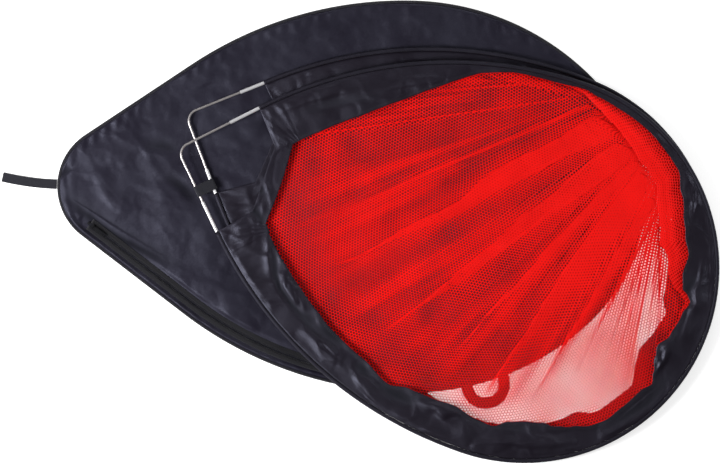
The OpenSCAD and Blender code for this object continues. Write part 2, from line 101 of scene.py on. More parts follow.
def noise(x, y, size, seed):
    """Smooth noise from -1 to 1 whose features are about size across."""
    table = np.random.default_rng(seed).uniform(-1, 1, (128, 128))
    u, v = np.asarray(x, float) / size + 64.5, np.asarray(y, float) / size + 64.5
    i, j = np.floor(u).astype(int), np.floor(v).astype(int)
    f, g = u - i, v - j
    f, g = f * f * (3 - 2 * f), g * g * (3 - 2 * g)
    at = lambda a, b: table[(i + a) % 128, (j + b) % 128]
    return (at(0, 0) * (1 - f) + at(1, 0) * f) * (1 - g) + (at(0, 1) * (1 - f) + at(1, 1) * f) * g


def creases(x, y, size, seed, sharp=6.0):
    """Thin ridges of height 1 that wander like creases in thin cloth."""
    return (1 - np.abs(noise(x, y, size, seed))) ** sharp


def line_distance(x, y, points):
    """Distance from each (x, y) to a polyline, and how far along it the nearest point is, from 0 to 1."""
    pts = np.asarray(points, float)
    best = np.full(np.shape(x), 1e9)
    along = np.zeros(np.shape(x))
    lengths = np.hypot(*np.diff(pts, axis=0).T)
    total, done = lengths.sum(), 0.0
    for (ax, ay), (bx, by), length in zip(pts[:-1], pts[1:], lengths):
        if length < 1e-9:
            continue
        dx, dy = bx - ax, by - ay
        t = np.clip(((x - ax) * dx + (y - ay) * dy) / (length * length), 0, 1)
        d = np.hypot(x - ax - t * dx, y - ay - t * dy)
        near = d < best
        best = np.where(near, d, best)
        along = np.where(near, (done + t * length) / total, along)
        done += length
    return best, along


def inside(x, y, points):
    """Whether each (x, y) lies inside a closed polygon."""
    pts = np.asarray(points, float)
    odd = np.zeros(np.shape(x), bool)
    for (ax, ay), (bx, by) in zip(pts, np.roll(pts, -1, axis=0)):
        if ay == by:
            continue
        cross = (ay > y) != (by > y)
        odd ^= cross & (x < (bx - ax) * (y - ay) / (by - ay) + ax)
    return odd


def fold(x, y, points, width, height, steep=0.0):
    """A fold along a polyline that fades out at both ends. steep makes one side sharper."""
    d, along = line_distance(x, y, points)
    fade = np.sin(pi * np.clip(along, 0.02, 0.98)) ** 0.6
    pts = np.asarray(points, float)
    side = np.sign((pts[-1][0] - pts[0][0]) * (y - pts[0][1]) - (pts[-1][1] - pts[0][1]) * (x - pts[0][0]))
    return height * fade * np.exp(-((d / (width * (1 + steep * side))) ** 2))


def fold_all(x, y, folds, scale):
    """Height of a list of folds, and how far into a fold each point lies, from 0 to 1, which is the mask of
    painted shade in the folds.
    """
    z, fold_shade = np.zeros(np.shape(x)), np.zeros(np.shape(x))
    for points, width, height, steep in folds:
        shape = fold(x, y, points, width, 1.0, steep)
        z = z + scale * height * shape
        # only folds that sink get painted shade
        if height < 0:
            fold_shade = np.maximum(fold_shade, shape * min(1.0, -height / 3))
    return z, fold_shade


def pair(x, y):
    """Two arrays, or an array and a number, as (..., 2)."""
    return np.stack(np.broadcast_arrays(x, y), -1)


def raised(points, z):
    """Level points (..., 2) with their heights, as (..., 3)."""
    return np.concatenate([points, np.broadcast_to(z, points.shape[:-1])[..., None]], -1)


def closed(line):
    """A line, or the rows of a grid, with the first once more at the end."""
    return np.concatenate([line, line[:1]])


def widths(rows):
    """Distance along each row of a grid of points, at each of its points."""
    steps = np.linalg.norm(np.diff(rows, axis=1), axis=2)
    return np.concatenate([np.zeros((len(rows), 1)), np.cumsum(steps, 1)], 1)


def distances(line):
    """Distance along a polyline, at each of its points."""
    return widths(np.asarray(line, float)[None])[0]


def points_at(s, run, line):
    """Points of a polyline at s, where run is the distance of each of its own points."""
    return np.stack([np.interp(s, run, line[:, c]) for c in range(line.shape[1])], -1)


def resample(line, step):
    """Points a step apart along a polyline."""
    run = distances(line)
    count = max(2, int(round(run[-1] / step)) + 1)
    return points_at(np.linspace(0, run[-1], count), run, line)


def arc(c, r, a0, a1, n):
    """n + 1 points of an arc round c from angle a0 to angle a1."""
    a = np.linspace(a0, a1, n + 1)
    return pair(c[0] + r * np.cos(a), c[1] + r * np.sin(a))


def turned(vectors, angle):
    """Level vectors turned by one angle, or by an angle each."""
    c, s = np.cos(angle), np.sin(angle)
    return pair(vectors[..., 0] * c - vectors[..., 1] * s, vectors[..., 0] * s + vectors[..., 1] * c)


def way(d):
    """Point and inward normal of a hoop's centre-line at path distance d from its corner."""
    d = np.asarray(d, float)
    s = np.minimum(d, 2 * HALF_LEN - d)
    side = np.where(d <= HALF_LEN, 1.0, -1.0)
    a = HALF - (s - ARM) / SIDE_R
    e = (s - ARM - SIDE_LEN) / END_R

    def pick(on_arm, on_side, on_end):
        return np.where(s <= ARM, on_arm, np.where(s <= ARM + SIDE_LEN, on_side, on_end))

    x = pick(s * ARM_DIR[0], SIDE_C[0] - SIDE_R * np.sin(a), SIDE_C[0] + END_R * np.sin(e))
    y = pick(s * ARM_DIR[1], SIDE_C[1] + SIDE_R * np.cos(a), END_R * np.cos(e))
    nx = pick(sin(HALF), np.sin(a), -np.sin(e))
    ny = pick(-cos(HALF), -np.cos(a), -np.cos(e))
    return pair(x, y * side), pair(nx, ny * side)


def inset(d, w):
    """Points at path distance d that lie w inside a hoop's centre-line."""
    p, n = way(d)
    return p + np.asarray(w, float)[..., None] * n


def place(p, apex, turn):
    """Points of a hoop's or the bag's own frame, in the row frame."""
    return np.array(apex) + turned(np.asarray(p, float), turn)


def on_hoop(hoop, p):
    return place(p, hoop["apex"], hoop["turn"])


def on_bag(p):
    return place(p, NOSE, BAG_TURN)


# ---------------------------------------------------------------- meshes
def make(name, verts, faces, material, uv=None, attributes=None):
    """A mesh object from points in millimetres. uv has one pair for each corner of each face."""
    mesh = bpy.data.meshes.new(name)
    mesh.from_pydata((np.asarray(verts, float).reshape(-1, 3) * MM).tolist(), [], faces)
    mesh.polygons.foreach_set("use_smooth", [True] * len(mesh.polygons))
    if uv is not None:
        layer = mesh.uv_layers.new(name="UVMap")
        layer.data.foreach_set("uv", np.asarray(uv, np.float32).ravel())
    for key, values in (attributes or {}).items():
        data = mesh.attributes.new(key, "FLOAT", "POINT").data
        data.foreach_set("value", np.asarray(values, np.float32).ravel())
    mesh.materials.append(material)
    mesh.update()
    obj = bpy.data.objects.new(name, mesh)
    scene.collection.objects.link(obj)
    return obj


def loft(name, rings, material, uv, closed_path=False, closed_ring=True, caps=False, attributes=None):
    """Skin over rings, an array (m, k, 3). Where path or ring is closed, uv has one more row or column."""
    m, k = rings.shape[:2]
    faces, corners = [], []
    for i in range(m if closed_path else m - 1):
        a, b = i * k, (i + 1) % m * k
        for j in range(k if closed_ring else k - 1):
            e = (j + 1) % k
            faces.append((a + j, b + j, b + e, a + e))
            corners += [uv[i, j], uv[i + 1, j], uv[i + 1, j + 1], uv[i, j + 1]]
    if caps:
        faces += [tuple(range(k)), tuple(range((m - 1) * k, m * k))[::-1]]
        corners += [uv[0, j] for j in range(k)] + [uv[m - 1, j] for j in range(k)][::-1]
    return make(name, rings, faces, material, corners, attributes)


def ring_uv(rings, along=None, closed_path=False):
    """Unrolled coordinates in millimetres for rings: along the path, and round the ring."""
    loop = np.concatenate([rings, rings[:, :1]], 1)
    rows = closed(loop) if closed_path else np.concatenate([loop, 2 * loop[-1:] - loop[-2:-1]])
    along = distances(rows.mean(1)) if along is None else along
    return pair(along[:, None], widths(rows))


def tangents(path):
    """Unit vectors along a path."""
    t = np.gradient(path, axis=0)
    return t / np.linalg.norm(t, axis=1)[:, None]


def sides(path, across=None):
    """Unit vectors across a path and up from it. The one across is level, or else it is given."""
    t = tangents(path)
    if across is None:
        side = np.stack([-t[:, 1], t[:, 0], np.zeros(len(t))], -1)
        side /= np.linalg.norm(side, axis=1)[:, None]
    else:
        side = np.broadcast_to(across, t.shape)
    return side, np.cross(t, side)


def strap(name, path, width, thick, material, across=None, crown=0.0):
    """A flat webbing strap along a path, with rounded selvedges. across is the direction of its width."""
    side, up = sides(path, across)
    r = thick / 2
    edge = width / 2 - r
    top = [(edge * v, r + crown * (1 - v * v)) for v in np.linspace(-1, 1, 10)]
    right = [(edge + r * sin(a), r * cos(a)) for a in np.linspace(0.5, pi - 0.5, 4)]
    low = [(x, z - thick) for x, z in top[::-1]]
    left = [(-x, -z) for x, z in right]
    shape = np.array(top + right + low + left)
    rings = path[:, None] + shape[None, :, :1] * side[:, None] + shape[None, :, 1:] * up[:, None]
    return loft(name, rings, material, ring_uv(rings), caps=True)


HEXAGON = [(cos(a), sin(a)) for a in np.linspace(0, 2 * pi, 7)[:-1]]


def tube_faces(base, rows, k=6):
    """Faces of a capped tube of rows of k points, the first of which is number base."""
    last = base + (rows - 1) * k
    faces = [(a + j, a + (j + 1) % k, a + k + (j + 1) % k, a + k + j)
             for a in range(base, last, k) for j in range(k)]
    return faces + [tuple(range(base, base + k))[::-1], tuple(range(last, last + k))]


def stitches(name, lines, material, length=2.6, gap=1.3, radius=0.22):
    """Rows of thread. Each line is points (n, 3) on the cloth; the thread stands half proud of it."""
    profile = [(-0.5, 0.15), (-0.32, 0.85), (0.0, 1.0), (0.32, 0.85), (0.5, 0.15)]
    verts, faces = [], []
    for line in lines:
        run = distances(line)
        n = int(run[-1] // (length + gap))
        starts = (np.arange(n) + 0.5) * (run[-1] / n) - length / 2
        for p, q in zip(points_at(starts, run, line), points_at(starts + length, run, line)):
            axis = (q - p) / np.linalg.norm(q - p)
            side = np.cross(axis, (0, 0, 1.0))
            side /= np.linalg.norm(side)
            up = np.cross(side, axis)
            faces += tube_faces(len(verts), len(profile))
            for u, r in profile:
                c = (p + q) / 2 + axis * (u * length)
                verts += [c + radius * r * (side * x + up * y) for x, y in HEXAGON]
    return make(name, verts, faces, material)


# ---------------------------------------------------------------- materials
class Shade:
    """The nodes of one material, or of the world. Sockets are linked; numbers and colours are written in."""

    def __init__(self, name, owner=None):
        self.material = owner or bpy.data.materials.new(name)
        self.material.use_nodes = True
        self.tree = self.material.node_tree
        self.tree.nodes.clear()

    def node(self, kind, inputs, **settings):
        """A node with its settings and inputs. An input that is None keeps its default."""
        node = self.tree.nodes.new(kind)
        for key, value in settings.items():
            setattr(node, key, value)
        for key, value in inputs.items():
            socket = node.inputs[key]
            if isinstance(value, bpy.types.NodeSocket):
                self.tree.links.new(value, socket)
            elif value is not None:
                socket.default_value = (*value, 1.0) if socket.type == "RGBA" else value
        return node

    def math(self, operation, a, b=0.0):
        return self.node("ShaderNodeMath", {0: a, 1: b}, operation=operation).outputs[0]

    def vector(self, operation, a, b=(0, 0, 0), out=0):
        return self.node("ShaderNodeVectorMath", {0: a, 1: b}, operation=operation).outputs[out]

    def coords(self, kind="Object"):
        return self.node("ShaderNodeTexCoord", {}).outputs[kind]

    def parts(self, vector):
        """The first two parts of a vector."""
        return self.node("ShaderNodeSeparateXYZ", {0: vector}).outputs[:2]

    def attribute(self, name):
        return self.node("ShaderNodeAttribute", {}, attribute_name=name).outputs["Fac"]

    def noise(self, vector, scale, detail=3.0, roughness=0.55):
        inputs = {"Vector": vector, "Scale": scale, "Detail": detail, "Roughness": roughness}
        return self.node("ShaderNodeTexNoise", inputs).outputs[0]

    def map(self, value, low, high, to_low, to_high):
        return self.node("ShaderNodeMapRange", {0: value, 1: low, 2: high, 3: to_low, 4: to_high}).outputs[0]

    def mix(self, share, a, b):
        return self.node("ShaderNodeMix", {0: share, 6: a, 7: b}, data_type="RGBA").outputs[2]

    def bump(self, height, distance, strength=1.0, normal=None):
        inputs = {"Height": height, "Distance": distance, "Strength": strength, "Normal": normal}
        return self.node("ShaderNodeBump", inputs).outputs[0]

    def finish(self, colour, roughness, normal, sockets, alpha=None):
        """The shader, with the sockets that are the same all over, and the material it ends in."""
        inputs = {"Base Color": colour, "Roughness": roughness, "Normal": normal, "Alpha": alpha, **sockets}
        shader = self.node("ShaderNodeBsdfPrincipled", inputs)
        self.node("ShaderNodeOutputMaterial", {"Surface": shader.outputs[0]})
        return self.material


def weave(s, pitch):
    """Height of a plain weave: threads over and under each other, pitch in millimetres."""
    waves = [s.math("SINE", s.math("MULTIPLY", part, pi / pitch)) for part in s.parts(s.coords("UV"))]
    return s.math("MULTIPLY", *waves)


def nylon(name, colour, light, roughness, wrinkle, shine):
    """Thin satin nylon: fine weave, small soft creases, a slow change of tone; far into a fold it is duller,
    and painted dark as shade.
    """
    s = Shade(name)
    at = s.coords()
    tone = s.map(s.noise(at, 9.0, 4.0), 0.35, 0.65, 0.0, 1.0)
    worn = s.map(s.noise(at, 60.0, 2.0), 0.45, 0.75, 0.0, 0.5)
    fold_shade = s.attribute("fold_shade")
    base = s.mix(worn, s.mix(tone, colour, light), light)
    # painted shade: far into a fold the colour falls nearly to black
    base = s.mix(s.math("MULTIPLY", fold_shade, 0.9), base, tuple(c * 0.05 for c in colour))
    fine = s.bump(weave(s, 0.35), 0.00006, 0.5)
    soft = s.bump(s.noise(at, 55.0, 3.0, 0.5), wrinkle, 0.6, fine)
    gloss = s.map(s.noise(at, 24.0, 2.0), 0.3, 0.7, roughness - 0.05, roughness + 0.07)
    gloss = s.math("ADD", gloss, s.math("MULTIPLY", fold_shade, 0.45))
    return s.finish(base, gloss, soft, {"Specular IOR Level": shine, "Specular Tint": (0.74, 0.76, 1.0)})


def webbing(name, colour, light, pitch=1.1):
    """Woven polyester tape: ribs across it and a herringbone from side to side, painted darker in its grooves
    and lighter on its ribs as shade and light on the weave.
    """
    s = Shade(name)
    u, v = s.parts(s.coords("UV"))
    zig = s.math("PINGPONG", v, 2.4)
    ribs = s.math("SINE", s.math("MULTIPLY", s.math("ADD", u, zig), 2 * pi / pitch))
    warp = s.math("SINE", s.math("MULTIPLY", v, 2 * pi / 0.8))
    height = s.math("ADD", ribs, s.math("MULTIPLY", warp, 0.5))
    fuzz = s.noise(s.coords(), 900.0, 2.0)
    # painted shade and light: the colour follows the weave's height, dark low and light high; the fuzz adds
    # random tone
    base = s.mix(s.map(s.math("ADD", height, fuzz), -0.6, 1.6, 0.0, 1.0), colour, light)
    sheen = {"Specular IOR Level": 0.3, "Sheen Weight": 0.15, "Sheen Roughness": 0.5}
    return s.finish(base, 0.72, s.bump(height, 0.00025, 0.7), sheen)


def drawn_out(s, point, away):
    """Length in millimetres that the swing has drawn the cloth out round a point. away is level."""
    arm = s.vector("SUBTRACT", s.coords(), point)
    out, up = (s.vector("DOT_PRODUCT", arm, along, out=1) for along in (away, (0, 0, 1)))
    radius = s.vector("LENGTH", s.node("ShaderNodeCombineXYZ", {0: out, 1: up}).outputs[0], out=1)
    return s.math("MULTIPLY", s.math("MULTIPLY", radius, s.math("ARCTAN2", up, out)), 1 / MM)


def mesh_net(name, colour, dark, swing=None):
    """Knitted netting: round holes on a staggered grid in the cloth's own coordinates; 'open' shrinks them.
    swing is a point that the front hoop swings round and the level direction away from it, in metres: cloth
    that is drawn out round it counts as length of net, so its holes keep their size as the hoop swings up."""
    s = Shade(name)
    u, v = s.parts(s.coords("UV"))
    if swing:
        v = s.math("ADD", v, drawn_out(s, *swing))

    def off_middle(value, period, shift):
        """How far a coordinate lies from the middle of its cell. 900 cells more keep it above 0."""
        moved = s.math("ADD", value, (shift + 900) * period)
        return s.math("SUBTRACT", s.math("FLOORED_MODULO", moved, period), period / 2)

    def to_hole(shift):
        a, b = off_middle(u, HOLE_PITCH, shift), off_middle(v, HOLE_PITCH * 3 ** 0.5, shift)
        return s.math("SQRT", s.math("ADD", s.math("MULTIPLY", a, a), s.math("MULTIPLY", b, b)))

    d = s.math("MINIMUM", to_hole(0.0), to_hole(0.5))
    hole = s.math("MULTIPLY", s.attribute("open"), HOLE_R)
    alpha = s.map(d, s.math("SUBTRACT", hole, HOLE_BLUR), s.math("ADD", hole, HOLE_BLUR), 0.0, 1.0)
    shade = s.map(s.math("SUBTRACT", d, hole), 0.0, 0.7, 0.0, 1.0)
    tone = s.map(s.noise(s.coords(), 14.0, 3.0), 0.3, 0.7, 0.7, 1.0)
    # painted shade: the threads darken towards the holes' edges, where their round sides turn from the light
    base = s.mix(s.math("MULTIPLY", shade, tone), dark, colour)
    return s.finish(base, 0.48, s.bump(shade, 0.0006, 0.8), {"Specular IOR Level": 0.12}, alpha)


def metal(name, colour, roughness, lines, metallic=1.0):
    """Drawn steel: fine lines along it, small scratches and dull spots."""
    s = Shade(name)
    at = s.coords()
    grain = s.noise(s.vector("MULTIPLY", at, (lines, lines, lines * 0.3)), 1.0, 4.0)
    spots = s.noise(at, 160.0, 3.0)
    base = s.mix(s.map(spots, 0.5, 0.75, 0.0, 0.6), colour, tuple(c * 0.85 for c in colour))
    gloss = s.map(spots, 0.35, 0.7, roughness - 0.04, roughness + 0.07)
    return s.finish(base, gloss, s.bump(grain, 0.00004, 0.5), {"Metallic": metallic})


def plastic(name, colour, roughness):
    """Moulded plastic, slightly uneven in tone and gloss."""
    s = Shade(name)
    at = s.coords()
    base = s.mix(s.map(s.noise(at, 220.0, 3.0), 0.4, 0.7, 0.0, 0.6), colour, tuple(c * 2.2 for c in colour))
    gloss = s.map(s.noise(at, 90.0), 0.3, 0.7, roughness - 0.06, roughness + 0.06)
    return s.finish(base, gloss, s.bump(s.noise(at, 1500.0, 2.0), 0.00003, 0.5), {"Specular IOR Level": 0.4})


BAG_NYLON = nylon("bag nylon", (0.0085, 0.0062, 0.0130), (0.0155, 0.0140, 0.0232), 0.46, 0.0012, 0.42)
SLEEVE_NYLON = nylon("sleeve nylon", (0.0082, 0.0060, 0.0100), (0.0120, 0.0098, 0.0150), 0.56, 0.0006, 0.34)
SATIN = nylon("border satin", (0.0080, 0.0052, 0.0090), (0.0112, 0.0082, 0.0132), 0.40, 0.0007, 0.52)
TAPE = webbing("black webbing", (0.009, 0.009, 0.014), (0.021, 0.021, 0.032))
# darker than the other webbing: a dark tape, and partly painted shade of the valley that the zip lies in
ZIP_TAPE = webbing("zip tape", (0.0035, 0.0030, 0.0060), (0.0080, 0.0075, 0.0120), 0.9)
BINDING = webbing("binding tape", (0.008, 0.007, 0.012), (0.019, 0.018, 0.026), 0.9)
THREAD = webbing("thread", (0.010, 0.010, 0.014), (0.030, 0.030, 0.040), 0.5)
NET_RED, NET_DARK = (0.97, 0.006, 0.004), (0.58, 0.003, 0.002)
NET = mesh_net("red net", NET_RED, NET_DARK)
SWING = ((*TIE_MID * MM, SWING_Z * MM), (*TIE_ACROSS, 0.0))
NET_SLACK = mesh_net("red net, slack", NET_RED, NET_DARK, SWING)
STEEL = metal("corner steel", (0.64, 0.60, 0.60), 0.36, 900.0, 0.82)
BRIGHT = metal("bright ferrule", (0.90, 0.89, 0.92), 0.34, 1400.0, 0.6)
ZIP_BLACK = plastic("zip coil", (0.010, 0.010, 0.013), 0.35)
ZIP_METAL = metal("zip metal", (0.030, 0.030, 0.034), 0.38, 900.0)

for node_name, material in {
    "ground_corner_rod": STEEL, "front_corner_rod": STEEL, "ground_rod": STEEL, "front_rod": STEEL,
    "ground_upper_ferrule": BRIGHT, "ground_lower_ferrule": BRIGHT,
    "front_upper_ferrule": BRIGHT, "front_lower_ferrule": BRIGHT,
    "zip_stops": ZIP_METAL, "zip_slider": ZIP_METAL, "zip_pull": ZIP_METAL,
}.items():
    for material_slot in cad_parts[node_name].material_slots:
        material_slot.material = material


def dress(obj, body, slot, *nodes):
    """Every piece rides on its body and may replace CAD nodes. slot, its material slot, is not used."""
    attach(obj, body)
    if nodes:
        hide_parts(*nodes)
    return obj


# ---------------------------------------------------------------- bag
BAG_SIDE_C = (NOSE_R * (1 - sin(EDGE_ANGLE)) + EDGE_LEN * cos(EDGE_ANGLE) + BAG_SIDE_R * sin(EDGE_ANGLE),
              NOSE_R * cos(EDGE_ANGLE) + EDGE_LEN * sin(EDGE_ANGLE) - BAG_SIDE_R * cos(EDGE_ANGLE))
SHOULDER_C = (BAG_SIDE_C[0], BAG_SIDE_C[1] + BAG_SIDE_R - SHOULDER_R)
SHOULDER_END = np.array(SHOULDER_C) + SHOULDER_R * np.array([sin(SHOULDER_TURN), cos(SHOULDER_TURN)])
BAG_END_R = SHOULDER_END[1] / cos(SHOULDER_TURN)
BAG_END_C = (SHOULDER_END[0] - BAG_END_R * sin(SHOULDER_TURN), 0.0)


def bag_half(d, fine=1):
    """The bag's upper outline from nose to end, made smaller by d."""
    return np.concatenate([
        arc((NOSE_R, 0), NOSE_R - d, pi, pi / 2 + EDGE_ANGLE, 16 * fine),
        arc(BAG_SIDE_C, BAG_SIDE_R - d, pi / 2 + EDGE_ANGLE, pi / 2, 24 * fine),
        arc(SHOULDER_C, SHOULDER_R - d, pi / 2, pi / 2 - SHOULDER_TURN, 24 * fine)[1:],
        arc(BAG_END_C, BAG_END_R - d, pi / 2 - SHOULDER_TURN, 0, 24 * fine)[1:]])


def bag_loop(d, fine=1):
    """The bag's whole outline, made smaller by d."""
    upper = bag_half(d, fine)
    return np.concatenate([upper, upper[-2:0:-1] * [1, -1]])


def zip_line(d, extra=0.0):
    """The zip's line at distance d from the bag's lower edge, from the nose towards the round end."""
    start = np.array([NOSE_R, 0]) + (NOSE_R - d) * np.array([-sin(EDGE_ANGLE), cos(EDGE_ANGLE)])
    start -= extra * np.array([cos(EDGE_ANGLE), sin(EDGE_ANGLE)])
    line = np.concatenate([
        start[None], arc(BAG_SIDE_C, BAG_SIDE_R - d, pi / 2 + EDGE_ANGLE, pi / 2, 80),
        arc(SHOULDER_C, SHOULDER_R - d, pi / 2, pi / 2 - ZIP_WRAP - extra / SHOULDER_R, 40)[1:]])
    return line * [1, -1]


# creases that the bag shows, in the row frame
BAG_FOLDS = [
    ([(-530, 92), (-519, 101), (-503, 112)], 5, -2.2, 0.3),
    ([(-518, 66), (-490, 40), (-457, 12), (-425, -11), (-398, -24), (-364, -41), (-322, -58)], 12, -3.0, 0.3),
    ([(-364, -69), (-322, -108), (-297, -130)], 4, -1.6, 0.0),
    ([(-340, 98), (-312, 78), (-285, 52)], 9, -2.4, 0.3),
    ([(-372, 150), (-345, 150), (-316, 142)], 9, -2.2, 0.3),
    ([(-470, 110), (-440, 60), (-400, 30)], 14, 1.4, 0.2),
    ([(-420, 190), (-380, 150), (-352, 90)], 12, 1.3, -0.2),
    ([(-300, 250), (-270, 262), (-230, 268)], 9, 1.2, 0.3),
    ([(-240, -120), (-225, -160), (-180, -205)], 10, 1.4, 0.3),
]


def bag_top(x, y):
    """Height of the bag's upper cloth at points of the row frame, and how far into a fold each lies, the mask
    of its painted fold shade.
    """
    hoop = on_hoop(GROUND, way(np.linspace(0, 2 * HALF_LEN, 160))[0])
    edge, to_hoop, to_zip = (line_distance(x, y, line)[0] for line in (
        closed(on_bag(bag_loop(0))), closed(hoop), on_bag(zip_line(ZIP_IN, 4.0))))
    soft = 1.0 * noise(x, y, 85, 3) + 1.5 * noise(x, y, 40, 4) + 0.8 * noise(x, y, 20, 5)
    soft += 0.3 * noise(x, y, 10, 12) + 0.9 * creases(x, y + 0.4 * x, 70, 6, 5)
    soft += 0.5 * creases(x + 0.5 * y, y, 34, 7, 5) - 0.6 * creases(x, y, 48, 8, 6)
    pucker = np.sin(edge * 0.05 + 2 * pi * (x + 0.2 * y) / 23) * bump(edge, 12, 10)
    pucker *= 0.6 + 0.5 * noise(x, y, 60, 9)
    folds, fold_shade = fold_all(x, y, BAG_FOLDS, 1.7)
    z = soft + pucker + folds - 0.8 + 0.8 * ramp(edge, 8, 50)
    # the cloth stays flatter under the ground hoop and its border
    cap = np.where(inside(x, y, hoop), 3.6 + 1.6 * ramp(to_hoop, 10, 60), 3.6 + 5.4 * ramp(to_hoop, 12, 70))
    low = 0.9
    room = cap - low
    z = low + room / (1 + np.exp(-4.0 * z / room))
    padding = 2.4 * bump(edge, 9.0, 3.6) * ramp(to_zip, 40, 26)
    z = 1.25 + (z - 1.25) * ramp(to_zip, 11.0, 19.0) + padding
    z = 2.1 + (z - 2.1) * ramp(edge, 4.5, 8.0)
    return np.maximum(z, 0.95), fold_shade


def bag_shell():
    """Both panels as one closed shell: a flat back on the floor and a soft, creased front."""
    upper = bag_half(BINDING_W - 1.0, 4)
    t = np.linspace(0, 1, 330)[1:-1]
    x = upper[0, 0] + (upper[-1, 0] - upper[0, 0]) * (0.375 * (1 - np.cos(pi * t)) + 0.25 * t)
    half = np.interp(x, upper[:, 0], upper[:, 1])
    q = np.linspace(-1, 1, 151)
    top = on_bag(pair(x[:, None], half[:, None] * (0.6 * q + 0.4 * np.sin(pi / 2 * q))))
    low = on_bag(pair(x[:, None], half[:, None] * np.linspace(1, -1, 25)[1:-1]))
    z_top, fold_shade = bag_top(top[..., 0], top[..., 1])
    z_top[:, [0, -1]] = 1.4
    z_low = 0.25 + 0.15 * np.abs(noise(low[..., 0], low[..., 1], 60, 11))
    rings = np.concatenate([raised(top, z_top), raised(low, z_low)], 1)
    loop = np.concatenate([rings, rings[:, :1]], 1)[..., :2]
    uv = np.concatenate([loop, loop[-1:]])
    # the mask of painted shade in the front's folds; none on the flat back
    fold_shade = np.concatenate([fold_shade, np.zeros(z_low.shape)], 1)
    shell = loft("bag_shell", rings, BAG_NYLON, uv, caps=True, attributes={"fold_shade": fold_shade})
    dress(shell, "bag", "nylon", "bag_back_panel", "bag_front_panel")


def bag_binding():
    """Folded tape round the bag's edge, its upper edge a little drawn in. It returns the line of its seam."""
    step = 4.0
    outer = resample(closed(bag_loop(0, 4)), step)[:-1]
    inner = resample(closed(bag_loop(BINDING_W, 4)), 1.0)
    inward = inner[((inner - outer[:, None]) ** 2).sum(2).argmin(1)] - outer
    inward /= np.linalg.norm(inward, axis=1)[:, None]
    k = np.arange(len(outer))
    pull = 0.22 * np.sin(2 * pi * k / 3.1) + 0.2 * noise(k * step, 0 * k, 30, 21)
    reach, height = np.array([(5.0, 1.9), (4.4, 2.7), (3.2, 3.0), (1.8, 2.9), (0.7, 2.3), (0.15, 1.5),
                              (0.5, 0.6), (1.6, 0.15), (4.0, 0.1), (5.0, 0.5)]).T
    level = on_bag(outer[:, None] + inward[:, None] * reach[:, None])
    rings = raised(level, height + 0.5 * pull[:, None] * (height > 1.6))
    tape = loft("bag_edge_tape", rings, BINDING, ring_uv(rings, closed_path=True), closed_path=True)
    dress(tape, "bag", "webbing", "bag_binding")
    return closed(raised(on_bag(outer + inward * 3.9), 2.86))


def zip_tape(name, sign, node):
    """A woven tape of the zip, on one side of its line. It returns the line of its seam."""
    across = [(3.1, 3.38), (4.6, 3.36), (6.4, 3.20), (8.2, 2.55), (9.6, 2.15), (10.9, 1.95),
              (10.9, 1.60), (9.6, 1.62), (8.0, 1.80), (6.2, 2.60), (4.6, 2.94), (3.1, 2.96)]
    lines = [resample(on_bag(zip_line(ZIP_IN + sign * w)), 4.0) for w, _ in across]
    n = min(len(line) for line in lines)
    rings = []
    for line, (_, z) in zip(lines, across):
        fine = resample(line, 1.0)
        rings.append(raised(fine[np.linspace(0, len(fine) - 1, n).astype(int)], z))
    rings = np.stack(rings, 1)
    lift = 0.10 * noise(np.arange(n) * 4.0, np.zeros(n), 26, 31 + sign)
    rings[:, :6, 2] += lift[:, None] * np.array([0, 0.3, 1, 1, 1, 0.4])
    tape = loft(name, rings, ZIP_TAPE, ring_uv(rings), caps=True)
    dress(tape, "bag", "webbing", node)
    return rings[:, 4] + (0, 0, 0.05)


def zip_coil(name, sign, node, shift):
    """One row of the coil, each turn a small loop. shift is where its first turn lies, in pitches."""
    centre = resample(on_bag(zip_line(ZIP_IN)), 0.4)
    run, t = distances(centre), tangents(centre)
    side = sign * pair(t[:, 1], -t[:, 0])
    shape = ((0.52, 0.25), (0.75, 0.62), (1.3, 0.74), (2.0, 0.70), (2.6, 0.55), (2.8, 0.2))
    pitch, clear, middle = 1.5, 0.8, 3.15
    verts, faces = [], []
    for s in np.arange(shift * pitch + clear, run[-1] - clear, pitch):
        c = points_at(s, run, centre)
        i = int(np.argmin(np.abs(run - s)))
        faces += tube_faces(len(verts), len(shape))
        for u, r in shape:
            for x, y in HEXAGON:
                level = c + u * side[i] + t[i] * (0.50 * min(1.0, r * 1.4) * x)
                verts.append((*level, middle + r * y))
    dress(make(name, verts, faces, ZIP_BLACK), "bag", "zip_plastic", node)


TAIL_LEN, TAIL_W, TAIL_T, TAIL_SWEEP = 96.0, 17.0, 1.5, 9.5
TAIL_SEAM, TAIL_TOP = 6.8, 0.72


def tail():
    """The webbing tail at the nose, doubled and turned back at its free end."""
    x = np.linspace(-0.4, -TAIL_LEN, 50)
    z = 1.15 + 0.35 * np.sin(x / 17.0) * ramp(-x, 8, 40) + 0.9 * bump(x, -60, 22)
    z = np.maximum(z, 1.05)
    sweep = TAIL_SWEEP * (x / TAIL_LEN) ** 2
    piece = strap("tail_webbing", raised(on_bag(pair(x, sweep)), z), TAIL_W, TAIL_T, TAPE)
    dress(piece, "tail", "webbing", "bag_tail_loop")
    lines = [raised(on_bag(pair(x[2:], sweep[2:] + w)), z[2:] + TAIL_TOP) for w in (-TAIL_SEAM, TAIL_SEAM)]
    y = np.linspace(-TAIL_SEAM, TAIL_SEAM, 8)
    for end in (-92.0, -82.0, -6.0):
        share = end / TAIL_LEN
        across = on_bag(pair(end + 0.19 * share * y, y + TAIL_SWEEP * share ** 2))
        lines.append(raised(across, np.interp(-end, -x, z) + TAIL_TOP))
    dress(stitches("tail_stitches", lines, THREAD), "tail", "webbing")


HANDLE, HANDLE_TURN, HANDLE_R, HANDLE_W = (219.5, -267.5), radians(-72.0), 43.0, 20.0


